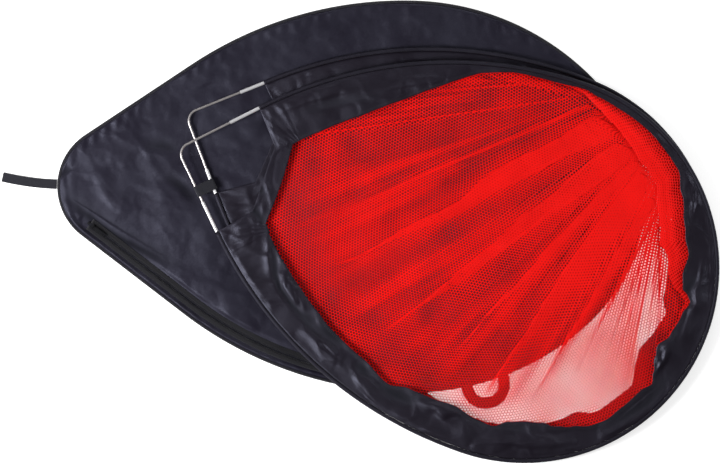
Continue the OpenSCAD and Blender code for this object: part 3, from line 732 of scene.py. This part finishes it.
def handle():
    """The carry handle: webbing laid in a half ring on the floor beside the bag. It returns its two seams."""
    r = HANDLE_R - HANDLE_W / 2
    leg = np.linspace(-19.0, -1, 8)
    pts = np.concatenate([pair(leg, -r), arc((0, 0), r, -pi / 2, pi / 2, 44), pair(leg[::-1], r)])
    pts = place(pts, HANDLE, HANDLE_TURN)
    z = 1.15 + 1.1 * np.sin(pi * np.linspace(0, 1, len(pts))) ** 2
    path = raised(pts, z + 0.25 * noise(pts[:, 0], pts[:, 1], 16, 41))
    piece = strap("handle_webbing", path, HANDLE_W, 1.6, TAPE, crown=0.3)
    dress(piece, "bag", "webbing", "bag_handle")
    side, up = sides(path)
    return [path + side * w + up * 0.82 for w in (-8.0, 8.0)]


bag_shell()
bag_seams = [
    bag_binding(),
    zip_tape("zip_tape_inner", 1, "zip_inner_tape"),
    zip_tape("zip_tape_outer", -1, "zip_outer_tape"),
]
zip_coil("zip_coil_inner", -1, "zip_inner_coil", 0.0)
zip_coil("zip_coil_outer", 1, "zip_outer_coil", 0.5)
tail()
bag_seams += handle()
dress(stitches("bag_stitches", bag_seams, THREAD), "bag", "webbing")


# ---------------------------------------------------------------- hoops
# how far in from the rod each border's free edge lies: (path distance, inset)
FRONT_EDGE = [(180, 82), (250, 80), (340, 74), (420, 60), (490, 41), (560, 17), (620, 9), (700, 11),
              (750, 8), (775, 12), (825, 14), (885, 14), (945, 17), (975, 18), (1017, 33), (1080, 47),
              (1110, 51), (1136, 49), (1183, 60), (1212, 58), (1225, 47), (1236, 41), (1264, 50),
              (1314, 57), (1346, 68), (1372, 60), (1398, 47), (1416, 36), (1441, 42), (1495, 40),
              (1530, 36), (1560, 38), (1600, 48), (1632, 55), (1660, 65), (1700, 69), (1732, 67),
              (1764, 56), (1800, 60), (1852, 69), (1898, 65), (1943, 62), (1980, 50), (2047, 61),
              (2131, 64), (2182, 69), (2240, 73), (2293, 76), (2375, 80)]
GROUND_EDGE = [(180, 74), (400, 70), (560, 50), (600, 45), (620, 52), (660, 60), (700, 66), (756, 69),
               (775, 60), (795, 54), (830, 42), (900, 42), (1000, 50), (1100, 76), (1223, 80),
               (1259, 68), (1299, 73), (1349, 79), (1380, 70), (1427, 46), (1461, 46), (1514, 43),
               (1552, 56), (1604, 51), (1670, 51), (1775, 50), (1900, 60), (2100, 64), (2375, 74)]


def free_edge(d, table):
    """In-between values of a table of (path distance, inset), straight along the taut side, then wavy."""
    at, value = np.array(table, float).T
    i = np.clip(np.searchsorted(at, d, "right") - 1, 0, len(at) - 2)
    t = np.clip((d - at[i]) / (at[i + 1] - at[i]), 0, 1)
    t = np.where(np.asarray(d) < TAUT_TO, t, t * t * (3 - 2 * t))
    return value[i] * (1 - t) + value[i + 1] * t


def border_lines(hoop, table):
    """Matching points on a border's outer and inner edge, all the way round, and each one's path distance."""
    mouth = hoop["mouth"]
    d = np.linspace(FULL_FROM, 2 * HALF_LEN - FULL_FROM, 540)
    outer, inner = inset(d, MOUTH_OUT), inset(d, free_edge(d, table))
    # from the strip's corner out to the sleeve's mouth, and along the sleeve to where the net starts
    out_a = np.concatenate([np.linspace([STRIP_X, STRIP_Y], inset(mouth, MOUTH_OUT), 13)[:-1],
                            inset(np.linspace(mouth, FULL_FROM, 14), MOUTH_OUT)[:-1]])
    strip_in, reach = STRIP_X + STRIP_W, STRIP_Y + STRIP_CUT
    in_a = np.linspace([strip_in, reach], inner[0], len(out_a) + 1)[:-1]
    q = np.linspace(-1, 1, 36)[1:-1]
    strip = pair(strip_in + 3 * np.cos(pi / 2 * q), reach * q)
    outer = np.concatenate([pair(STRIP_X, STRIP_Y * q), out_a, outer, out_a[::-1] * [1, -1]])
    inner = np.concatenate([strip, in_a, inner, in_a[::-1] * [1, -1]])
    ends = np.linspace(80, 200, len(out_a))
    along = np.concatenate([np.linspace(-60, 60, len(q)), ends, d, 2 * HALF_LEN - ends[::-1]])
    return outer, inner, along


# folds of the front border, in the row frame: points, width, height, steep side
FRONT_FOLDS = [
    ([(-152, 4), (-149, -40), (-147, -76), (-138, -100), (-116, -130), (-92, -160), (-62, -192)],
     7, -3.6, 0.4),
    ([(-158, 0), (-160, -40), (-157, -74)], 6, 2.4, -0.3),
    ([(-130, -70), (-132, -95), (-120, -120)], 5, 3.2, 0.3),
    ([(-126, -88), (-120, -112), (-112, -132)], 6, 3.4, 0.4),
    ([(-112, -140), (-92, -150), (-78, -168)], 7, -2.4, 0.2),
    ([(-76, -150), (-68, -166), (-56, -180)], 6, 3.2, 0.3),
    ([(-78, -162), (-54, -178), (-26, -200)], 12, -5.0, 0.2),
    ([(-88, -172), (-60, -196), (-34, -222)], 5, 2.6, 0.2),
    ([(-6, -226), (8, -244), (20, -252)], 8, -4.0, 0.2),
    ([(-100, -170), (-70, -200), (-30, -236)], 7, 2.2, -0.3),
    ([(-10, -250), (14, -282), (32, -300)], 8, 3.0, 0.3),
    ([(32, -264), (60, -284), (100, -302)], 12, -5.0, 0.3),
    ([(96, -296), (140, -310), (190, -322)], 8, 2.6, -0.2),
    ([(128, -296), (140, -312), (150, -330)], 8, 3.2, 0.2),
    ([(176, -310), (200, -322), (224, -336)], 12, -5.0, 0.2),
    ([(20, -318), (80, -345), (160, -366)], 9, 2.0, 0.3),
    ([(190, -322), (240, -338), (300, -345)], 8, -2.4, 0.2),
    ([(230, -362), (300, -372), (380, -366)], 9, 2.4, 0.3),
    ([(330, -338), (400, -330), (450, -305)], 9, 2.6, -0.3),
    ([(430, -345), (500, -300), (545, -250)], 9, -2.4, 0.3),
    ([(500, -265), (530, -225), (548, -170)], 8, 2.8, 0.3),
    ([(560, -190), (590, -120), (600, -40)], 8, 2.2, -0.3),
    ([(562, -130), (575, -95), (590, -80)], 7, -2.6, 0.2),
    ([(580, 20), (592, 60), (585, 110)], 7, 2.2, 0.3),
    ([(-186, 60), (-170, 96), (-152, 140)], 6, 1.8, 0.4),
    ([(-196, 76), (-180, 120), (-168, 160)], 5, -1.5, 0.3),
    ([(-215, 90), (-190, 60), (-172, 52)], 7, 2.2, 0.3),
    ([(-194, 46), (-181, 31), (-166, 12)], 7, -4.5, 0.3),
    ([(-170, 46), (-172, 28), (-176, 10)], 5, 2.6, 0.2),
    ([(-198, 90), (-185, 80), (-168, 66)], 8, -4.5, 0.3),
    ([(-176, 100), (-170, 84), (-158, 74)], 5, 2.4, 0.3),
    ([(-240, 70), (-215, 20), (-196, -40)], 14, 1.6, 0.2),
    ([(-222, -30), (-196, -90), (-160, -150)], 16, 1.8, 0.2),
    ([(-160, -150), (-110, -215), (-40, -275)], 12, 1.4, 0.3),
    ([(-150, 205), (-90, 232), (-10, 250)], 9, 1.6, 0.3),
    ([(-100, 208), (-40, 226), (30, 236)], 8, -1.4, 0.2),
    ([(20, 244), (90, 262), (150, 262)], 8, 1.6, 0.2),
]
GROUND_FOLDS = [
    ([(-230, 170), (-200, 210), (-170, 240)], 9, 1.2, 0.3),
    ([(-190, 120), (-176, 160), (-160, 190)], 7, -1.0, 0.2),
    ([(-160, 262), (-90, 285), (-10, 298)], 8, 1.3, 0.2),
    ([(20, 300), (120, 310), (220, 300)], 9, 1.2, 0.2),
]


def border(name, hoop, table, folds, low, high, lean, seed):
    """The flat nylon border as two plies with a hem: soft folds across it, painted shade far into them,
    puckers at the sleeve.
    """
    outer, inner, along = border_lines(hoop, table)
    width = np.linalg.norm(inner - outer, axis=1)
    inward = (inner - outer) / width[:, None]
    q = np.linspace(0, 1, 27)
    flat = outer[:, None] + (inner - outer)[:, None] * q[None, :, None]
    from_outer, from_inner = width[:, None] * q, width[:, None] * (1 - q)
    level = on_hoop(hoop, flat)
    x, y = level[..., 0], level[..., 1]
    d = np.broadcast_to(along[:, None], x.shape)
    near_mouth = bump(np.minimum(d, 2 * HALF_LEN - d), 200, 75)
    pucker = np.sin(2 * pi * d / 25.0 + 2.6 * noise(d, from_outer, 55, seed + 1))
    pucker *= (0.35 + near_mouth) * np.exp(-from_outer / (10 + 22 * near_mouth))
    pucker *= 0.6 + 0.6 * noise(d, 0 * d, 40, seed + 6)
    ripple = 0.5 * np.sin(2 * pi * d / 31.0 + 2.2 * noise(d, from_inner, 80, seed + 2))
    ripple *= np.exp(-from_inner / 12)
    soft = 1.3 * noise(x, y, 70, seed + 3) + 1.2 * noise(x, y, 28, seed + 4)
    soft += 1.5 * creases(x + 0.3 * y, y, 46, seed + 5, 6) - 1.2 * creases(x, y - 0.3 * x, 38, seed + 7, 7)
    folded, fold_shade = fold_all(x, y, folds, 1.35)
    calm = ramp(from_outer, 0, 9) * (0.45 + 0.55 * ramp(from_inner, 0, 10))
    room = high - low
    z = 1.35 * (pucker + ripple + soft + folded) * calm - lean
    top = hoop["z"] + CLOTH + low + room / (1 + np.exp(-4.0 * z / room))
    bottom = top - 2 * CLOTH
    middle = (top + bottom) / 2
    edge_in = raised(on_hoop(hoop, flat[:, -1] + inward * 0.45), middle[:, -1])
    edge_out = raised(on_hoop(hoop, flat[:, 0] - inward * 0.55), middle[:, 0])
    rings = [raised(level, top), edge_in[:, None], raised(level, bottom)[:, ::-1], edge_out[:, None]]
    rings = np.concatenate(rings, 1)
    across = np.concatenate([from_inner, 0 * width[:, None], from_inner[:, ::-1], width[:, None]], 1)
    path = distances(on_hoop(hoop, outer))
    uv = pair(path[:, None], across)
    uv = np.concatenate([uv, uv[:, :1]], 1)
    uv = np.concatenate([uv, uv[:1] + [path[-1] + 4, 0]])
    # painted shade in the folds of the top ply only
    fold_shade = np.concatenate([fold_shade, np.zeros((len(fold_shade), rings.shape[1] - len(q)))], 1)
    piece = loft(name, rings, SATIN, uv, closed_path=True, attributes={"fold_shade": fold_shade})
    hem, k, last = [], np.arange(len(width)), len(q) - 1
    for w in (3.0, 5.2):
        at = last * np.clip(1 - w / width, 0, 1)
        row = np.clip(at.astype(int), 0, last - 1)
        f = (at - row)[:, None]
        hem.append(closed(rings[k, row] * (1 - f) + rings[k, row + 1] * f))
    return piece, hem, float((width * np.gradient(path)).sum()) * MM * MM


def sleeve(name, hoop, seed):
    """The sleeve on a hoop's rod: a sewn tube with a hemmed mouth at both ends, drawn in by small puckers."""
    d = np.linspace(hoop["mouth"], 2 * HALF_LEN - hoop["mouth"], 760)
    s = np.minimum(d, 2 * HALF_LEN - d)
    p, n = way(d)
    p, n = on_hoop(hoop, p), turned(n, hoop["turn"])
    a, dd = np.meshgrid(np.linspace(0, 2 * pi, 15)[:-1], d)
    radius = SLEEVE_R - 0.12 + 0.25 * ramp(s, MOUTH_END + 6, MOUTH_END - 4)
    radius += 0.10 * noise(d, 0 * d, 6, seed) + 0.12 * noise(d, 0 * d, 22, seed + 1)
    radius -= 0.22 * bump(s, hoop["mouth"] + 5.5, 1.6)
    ripple = np.sin(2 * pi * dd / 11.0 + 2.5 * noise(dd, 20 * np.cos(a), 16, seed + 2))
    ripple *= (0.10 + 0.16 * bump(s, 210, 70)[:, None]) * (0.5 + 0.5 * np.sin(a))
    most = np.where(s < MOUTH_END, MOUTH_R, SLEEVE_R + 0.25)[:, None]

    def tube(r):
        level = p[:, None] + n[:, None] * (r * np.cos(a))[..., None]
        return raised(level, hoop["z"] + r * np.sin(a))

    outer = tube(np.minimum(radius[:, None] + ripple, most))
    inner = tube(np.where(s < MOUTH_END + 2, 3.32, 3.2)[:, None])
    rings = np.concatenate([outer, inner[::4][::-1]])
    run = np.concatenate([d, d[::4][::-1], d[:1]])
    piece = loft(name, rings, SLEEVE_NYLON, ring_uv(rings, along=run, closed_path=True), closed_path=True)
    return piece, [outer[:, 2], closed(outer[8]), closed(outer[-9])]


def hoop_cloth(name, hoop, body, table, folds, low, high, lean, seed):
    """Border, sleeve and stitches of a hoop. Its folds stay between low and high, and lean sinks them."""
    ring, hem, area = border(f"{name}_border_cloth", hoop, table, folds, low, high, lean, seed)
    dress(ring, body, "nylon", f"{name}_border")
    tube, seam = sleeve(f"{name}_sleeve_cloth", hoop, seed + 50)
    dress(tube, body, "nylon", f"{name}_sleeve")
    dress(stitches(f"{name}_stitches", [*hem, *seam], THREAD), body, "nylon")


hoop_cloth("ground", GROUND, "goal", GROUND_EDGE, GROUND_FOLDS, low=-2.0, high=0.15, lean=-0.3, seed=100)
hoop_cloth("front", FRONT, "front_hoop", FRONT_EDGE, FRONT_FOLDS, low=-0.4, high=6.5, lean=2.0, seed=200)


# ---------------------------------------------------------------- net
# where the gathers end, in the row frame
HEM = [(250, 264), (315, 250), (372, 232), (408, 216), (430, 203), (452, 178), (478, 144), (500, 104),
       (516, 56), (521, 8)]
# how far along that line the cloth from each point of the rim ends: (path distance, share)
ENDS = [(205, 0.30), (300, 0.20), (400, 0.10), (500, 0.03), (560, 0), (640, 0), (700, 0.12),
        (760, 0.30), (800, 0.40), (850, 0.50), (930, 0.66), (1000, 0.80), (1100, 0.93), (1210, 1),
        (1560, 1), (1640, 0.95), (1750, 0.84), (1860, 0.74), (1965, 0.69), (2115, 0.62), (2185, 0.56),
        (2245, 0.49), (2290, 0.44), (2353, 0.36)]
# pleats that take up the cloth as it draws together: path distance of the middle, half width,
# degrees taken up, height
PLEATS = [(430, 26, 2.0, 1.2), (1262, 20, 2.0, 1.4), (1352, 24, 4.0, 1.6), (1440, 5, 1.0, 0.9),
          (1500, 4, 0.8, 0.8), (1560, 7, 1.4, 1.0), (1596, 6, 1.2, 1.0), (1650, 14, 2.6, 1.4),
          (1712, 30, 6.5, 1.8), (1822, 60, 13.0, 2.6), (1938, 50, 5.0, 2.0), (2070, 74, 11.0, 2.6),
          (2232, 80, 10.5, 2.6), (2340, 16, 1.5, 1.0)]
GRAIN = radians(28.0)               # direction of the net's rows


def net_rim():
    """Points round the net's rim on the front hoop, and the path distance of those along its sides."""
    steps = ((FULL_FROM, 1150, 5.0), (1150, 1700, 2.0), (1700, 2353, 2.8))
    d = np.concatenate([np.arange(*step) for step in steps])
    side = inset(d, np.maximum(free_edge(d, FRONT_EDGE) - NET_LAP, 4.6))
    x, y = STRIP_X + STRIP_W - NET_LAP, STRIP_Y + STRIP_CUT + NET_LAP / 2
    strip = pair(x, np.linspace(-y, y, 40))
    to_strip = np.linspace(side[-1], strip[0], 12)[1:-1]
    from_strip = np.linspace(strip[-1], side[0], 12)[1:-1]
    return on_hoop(FRONT, np.concatenate([side, to_strip, strip, from_strip])), d


def net_ends(d, count):
    """Where the cloth from each point of the rim ends, on the line of the gathers."""
    share = np.concatenate([np.interp(d, *np.array(ENDS, float).T), np.linspace(0.36, 0.30, count - len(d))])
    kernel = np.hanning(25) / np.hanning(25).sum()
    share = np.convolve(np.concatenate([share[-12:], share, share[:12]]), kernel, "valid")
    hem = resample(np.array(HEM, float), 1.0)
    return points_at(share, np.linspace(0, 1, len(hem)), hem)


def cells(grid):
    """Area of each cell of a grid of level points whose rows are closed."""
    a, b = np.gradient(grid[:-1], axis=1), np.diff(grid, axis=0)
    return np.abs(a[..., 0] * b[..., 1] - a[..., 1] * b[..., 0])


def pleat(p, u, fuller, tall, seed):
    """One overturned pleat. p runs from -1 to 1 across it, and fuller(near) is how much more cloth is there.
    It returns how far each point moves, in half widths, how much it rises, and how bunched the cloth is."""
    near = np.abs(p) < 1
    p = p - 0.22 * noise(7 * u, 0 * u, 1, seed) * (1 - p * p) * near
    # lap is how far each fold goes past the line that the cloth folds over, in half widths
    lap = np.clip((0.98 * fuller(near) - 1) / 2 - 0.04 * ramp(u, 0.5, 0.2), 0, 1.2) * ramp(u, 1.0, 0.97)
    lap = np.broadcast_to(lap * (1 + 0.25 * noise(9 * u, 0 * u, 1, seed + 20)), p.shape)
    slope, edge = 1 + 2 * lap, lap / (1 + 2 * lap)
    over = np.where(p < -edge, slope * (p + 1) - 1, np.where(p > edge, slope * (p - 1) + 1, -slope * p))
    falling = np.where(p > edge, 0.0, 0.5 - 0.5 * p / np.maximum(edge, 0.01))
    level = np.where(p < -edge, ramp((p + 1) / (1 - edge), 0, 1), falling)
    rise = tall * np.where(near, level, 0) * ramp(lap, 0, 0.25)
    bunched = bump(over, 0, 1.25 * lap + 0.12) * near * ramp(lap, 0.02, 0.4)
    return np.where(near, over - p, 0), rise, bunched


def drawn_together(flat, run, total, shift):
    """A grid of points moved by shift along its closed rows, and smoothed a little along them."""
    loop_run = np.concatenate([run - total, run, run + total])
    moved = np.empty(flat.shape)
    for j, k in np.ndindex(flat.shape[1:]):
        line = np.interp(run + shift[:, j], loop_run, np.tile(flat[:, j, k], 3))
        line = np.concatenate([line[-2:], line, line[:2]])
        moved[:, j, k] = np.convolve(line, [0.1, 0.2, 0.4, 0.2, 0.1], "valid")
    return moved


def net():
    """The net: flat near the border, drawn together in overturned pleats that end at the hem line."""
    rim, d = net_rim()
    around = closed(rim)
    run_on = distances(around)
    total, run = run_on[-1], run_on[:-1]
    u = np.linspace(0, 1, 131) ** 0.92
    flat = rim[:, None] * (1 - u[:, None]) + net_ends(d, len(rim))[:, None] * u[:, None]
    flat_on = closed(flat)

    def at_run(value):
        return np.interp(value, d, run[:len(d)])

    # the cloth laid out flat is fuller: past each pleat the rest of it is turned by what the pleat takes up
    turn = np.full(len(around), -GRAIN)
    for at, half, angle, _ in PLEATS:
        start, end = at_run(at - half), at_run(at + half)
        turn += radians(angle) * np.clip((run_on - start) / (end - start), 0, 1)
    steps = turned(np.diff(around, axis=0), (turn[1:] + turn[:-1]) / 2)
    starts = np.concatenate([np.zeros((1, 2)), np.cumsum(steps, axis=0)])
    cloth = starts[:, None] + turned(flat_on - around[:, None], turn[:, None])
    real_cells, cloth_cells = cells(flat_on), cells(cloth)

    def fuller(near):
        """How many times the area it covers the cloth has, where near is true."""
        return (cloth_cells * near).sum(0) / np.maximum((real_cells * near).sum(0), 1e-6)

    shift, rise, bunched = 0, 0, 0
    for k, (at, half, _, tall) in enumerate(PLEATS):
        middle, half = at_run(at), (at_run(at + half) - at_run(at - half)) / 2
        p = (((run - middle + total / 2) % total - total / 2) / half)[:, None]
        moved, higher, closer = pleat(p, u, fuller, tall, 300 + k)
        shift, rise, bunched = shift + half * moved, rise + higher, bunched + closer
    level = drawn_together(flat, run, total, shift)
    x, y = level[..., 0], level[..., 1]
    waves = 1.1 * noise(x, y, 70, 62) + 0.8 * noise(x, y, 30, 63) + 0.25 * noise(x, y, 11, 64)
    r, u = run[:, None], u[None]
    swell = 0.7 * noise(r / 30, 3.0 * u, 1, 65) + 0.5 * noise(r / 13, 4.0 * u, 1, 67)
    swell = swell * ramp(u, 0.03, 0.2) * ramp(u, 0.95, 0.75)
    z = 0.3 + 2.3 * ramp(u, 0.04, 0.35) + (1.2 + waves) * ramp(u, 0.02, 0.25) * ramp(u, 1, 0.9)
    z = z + 1.6 * swell + rise
    room = 8.4 - 3.2 * ramp(u, 0.80, 0.92)
    z = NET_LOW + 0.1 + room * (1 - np.exp(-np.maximum(z, 0.02) / room * 1.25))
    verts = raised(level, z)
    real = np.linalg.norm(np.cross(np.gradient(verts, axis=1), np.roll(verts, -1, 0) - verts), axis=2)
    # the holes close where cloth is bunched or seen through more cloth, and at the gathers
    opening = np.clip((real / np.maximum(cloth_cells, 1e-6) - 0.2) / 0.65, 0.0, 1.0) ** 0.5
    opening *= (1 - 0.42 * np.minimum(bunched, 1)) * (1 - 0.34 * np.maximum(swell, 0))
    opening *= 1 - 0.13 * noise(x, y, 34, 66)
    streaks = np.maximum(noise(r / 27, 2.2 * u, 1, 68) + 0.5 * noise(r / 11, 3.5 * u, 1, 69), 0)
    opening *= 1 - 0.32 * np.minimum(streaks, 1) * ramp(u, 0.04, 0.3)
    opening *= 1 - 0.92 * bump(np.hypot(x - GATHER[0], y - GATHER[1]), 0, GATHER_R)
    opening[[0, -1]] *= 0.15        # the net's own seam, where its two ends meet
    piece = loft("net_cloth", verts, NET, cloth, closed_path=True, closed_ring=False,
                 attributes={"open": opening})
    dress(piece, "goal", "mesh", "net_sheet")


def slack():
    """The net's slack, folded in once between the hoops, the cloth that opens out on the real goal as the
    front hoop swings up.
    """
    d = np.arange(230, 2 * HALF_LEN - 450, 3.5)
    full = ramp(d, 690, 930) - ramp(d, 1080, 1300)
    depth = 1.5 + 43.5 * full + (0.8 + 1.6 * full) * noise(d, 0 * d, 34, 71)
    depth = depth + (0.4 + 1.2 * full) * noise(d, 0 * d, 12, 72)
    edge = free_edge(d, FRONT_EDGE)
    lap = np.minimum(18 - 10 * ramp(d, 700, 900) + 10 * ramp(d, 1080, 1300), edge - 4.8)
    most = ramp(d, 640, 800) - ramp(d, 1100, 1260)
    d, depth, edge, lap, most = (value[:, None] for value in (d, depth, edge, lap, most))
    q = np.linspace(0, 1, 30)
    w = edge - lap + (depth + lap) * np.sin(pi * q) ** 0.7
    lower = 9.9 + 5.2 * ramp(q, 0.0, 0.13) + 1.2 * ramp(q, 0.13, 0.5)
    z = np.where(q < 0.5, lower, 16.3 + 2.5 * ramp(q, 0.5, 0.93))
    level = on_hoop(FRONT, inset(np.broadcast_to(d, w.shape), w))
    x, y = level[..., 0], level[..., 1]
    second = 1.2 * bump(w - edge, 0.62 * depth, 5.0) * (q > 0.5) * ramp(depth, 20, 34)
    z = z + 0.35 * noise(x, y, 14, 73) * np.sin(pi * q) ** 0.5 - second
    verts = raised(level, np.clip(z, 9.8, 18.9))
    run, across = distances(level[:, 0]), widths(verts)
    into = (w - edge) / np.maximum(depth, 6)
    opening = 1.0 - 0.72 * ramp(into, 0.15, 0.7) * most + 0.06 * noise(x, y, 20, 74)
    cloth = pair(run[:, None], across)
    piece = loft("net_slack", verts, NET_SLACK, cloth, closed_ring=False, attributes={"open": opening})
    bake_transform(piece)
    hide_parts("net_fold")


net()
slack()


# ---------------------------------------------------------------- strap that ties the two corner rods
def tie_path(turns):
    """The middle line of a strap that lies round two rods, in the row frame."""
    pts = np.concatenate([arc(c, r + TIE_T / 2, a0, a1, 14) for c, r, a0, a1 in turns])
    pts = resample(pts, 1.2)
    return raised(TIE_MID + pts[:, :1] * TIE_ACROSS, pts[:, 1])


def tie():
    """The strap round both lower arms and the flap that closes it, with a box of stitches."""
    to_ground = np.array(GROUND["apex"]) - TIE_MID
    area = GROUND_ARM[0] * to_ground[1] - GROUND_ARM[1] * to_ground[0]
    span = area / (GROUND_ARM[0] * TIE_ACROSS[1] - GROUND_ARM[1] * TIE_ACROSS[0])
    front, ground = np.array([0.0, FRONT["z"]]), np.array([span, GROUND["z"]])
    front_r, ground_r = 2.3, 4.2
    flap_r = ground_r + TIE_T + 0.3
    apart, tilt = hypot(*(ground - front)), atan2(*(ground - front)[::-1])
    under = tilt - acos((front_r - ground_r) / apart)
    over = tilt + acos((front_r - flap_r) / apart)
    wrap = tie_path([(front, front_r, radians(-165), under), (ground, ground_r, under, radians(75))])
    cover = tie_path([(ground, flap_r, radians(40), over), (front, front_r, over, radians(165))])
    along = np.array([*FRONT_ARM, 0.0])
    for name, path, body, node in (("strap_webbing", wrap, "goal", "tie_strap"),
                                   ("flap_webbing", cover, "strap_flap", "tie_flap")):
        dress(strap(name, path, TIE_W, TIE_T - 0.1, TAPE, across=along), body, "webbing", node)
    _, up = sides(cover, along)
    up = up * np.sign(up[len(up) // 2, 2])
    top = cover + up * (TIE_T / 2 - 0.08)
    seam = 7.5
    box = [top[6:-8] + along * w for w in (-seam, seam)]
    box += [top[k] + along * np.linspace(-seam, seam, 7)[:, None] for k in (6, len(top) // 2, -9)]
    dress(stitches("flap_stitches", box, THREAD, 2.2, 1.1, 0.2), "strap_flap", "webbing")


tie()


# ---------------------------------------------------------------- floor, light, camera
def floor():
    """A white floor that the camera sees a little brighter than the lamps make it."""
    s = Shade("floor")
    plain = s.node("ShaderNodeBsdfDiffuse", {"Color": (0.88, 0.88, 0.88)})
    glow = s.node("ShaderNodeEmission", {"Color": (1, 1, 1), "Strength": 0.56})
    path = s.node("ShaderNodeLightPath", {}).outputs
    seen = s.math("MAXIMUM", path["Is Camera Ray"], path["Is Glossy Ray"])
    seen = s.math("MAXIMUM", seen, path["Is Transmission Ray"])
    nothing = s.node("ShaderNodeEmission", {"Strength": 0.0})
    extra = s.node("ShaderNodeMixShader", {0: seen, 1: nothing.outputs[0], 2: glow.outputs[0]})
    both = s.node("ShaderNodeAddShader", {0: plain.outputs[0], 1: extra.outputs[0]})
    s.node("ShaderNodeOutputMaterial", {"Surface": both.outputs[0]})
    corners = 9000.0 * np.array([(-1, -1, 0), (1, -1, 0), (1, 1, 0), (-1, 1, 0)])
    obj = make("floor", corners, [(0, 1, 2, 3)], s.material)
    obj.location.z = -0.0002


def studio():
    """White to the camera and through the net's holes, dim to everything that it lights, dimmer in gloss."""
    s = Shade("studio", bpy.data.worlds.new("studio"))
    scene.world = s.material
    path = s.node("ShaderNodeLightPath", {}).outputs
    seen = s.math("MAXIMUM", path["Is Camera Ray"], path["Is Transmission Ray"])
    dim = s.map(path["Is Glossy Ray"], 0.0, 1.0, 0.26, 0.05)
    sky = s.node("ShaderNodeBackground", {"Color": (1, 1, 1), "Strength": s.map(seen, 0.0, 1.0, dim, 1.0)})
    s.node("ShaderNodeOutputWorld", {"Surface": sky.outputs[0]})


def lamp(name, at, aim, size, power):
    """A rectangular softbox. at, aim and size are in metres, power in watts."""
    data = bpy.data.lights.new(name, "AREA")
    data.shape = "RECTANGLE"
    data.size, data.size_y = size
    data.energy = power
    obj = bpy.data.objects.new(name, data)
    scene.collection.objects.link(obj)
    obj.location = at
    obj.rotation_euler = (Vector(aim) - Vector(at)).to_track_quat("-Z", "Y").to_euler()


def camera(height, seen_width):
    """Straight above the middle. Both sizes are in metres."""
    data = bpy.data.cameras.new("camera")
    data.sensor_width = 36.0
    data.lens = data.sensor_width * height / seen_width
    data.clip_end = 100.0
    obj = bpy.data.objects.new("camera", data)
    obj.location = (0, 0, height)
    scene.collection.objects.link(obj)
    scene.camera = obj


floor()
studio()
lamp("left softbox", at=(-1.75, -0.50, 1.45), aim=(-0.1, 0, 0), size=(0.9, 1.0), power=66)
lamp("right softbox", at=(2.2, 0.6, 1.3), aim=(0.2, 0, 0), size=(0.6, 1.2), power=14)
lamp("back softbox", at=(0.3, 2.3, 1.2), aim=(0, 0, 0), size=(1.8, 0.6), power=12)
camera(height=8.0, seen_width=1.26)

scene.view_settings.view_transform = "Standard"
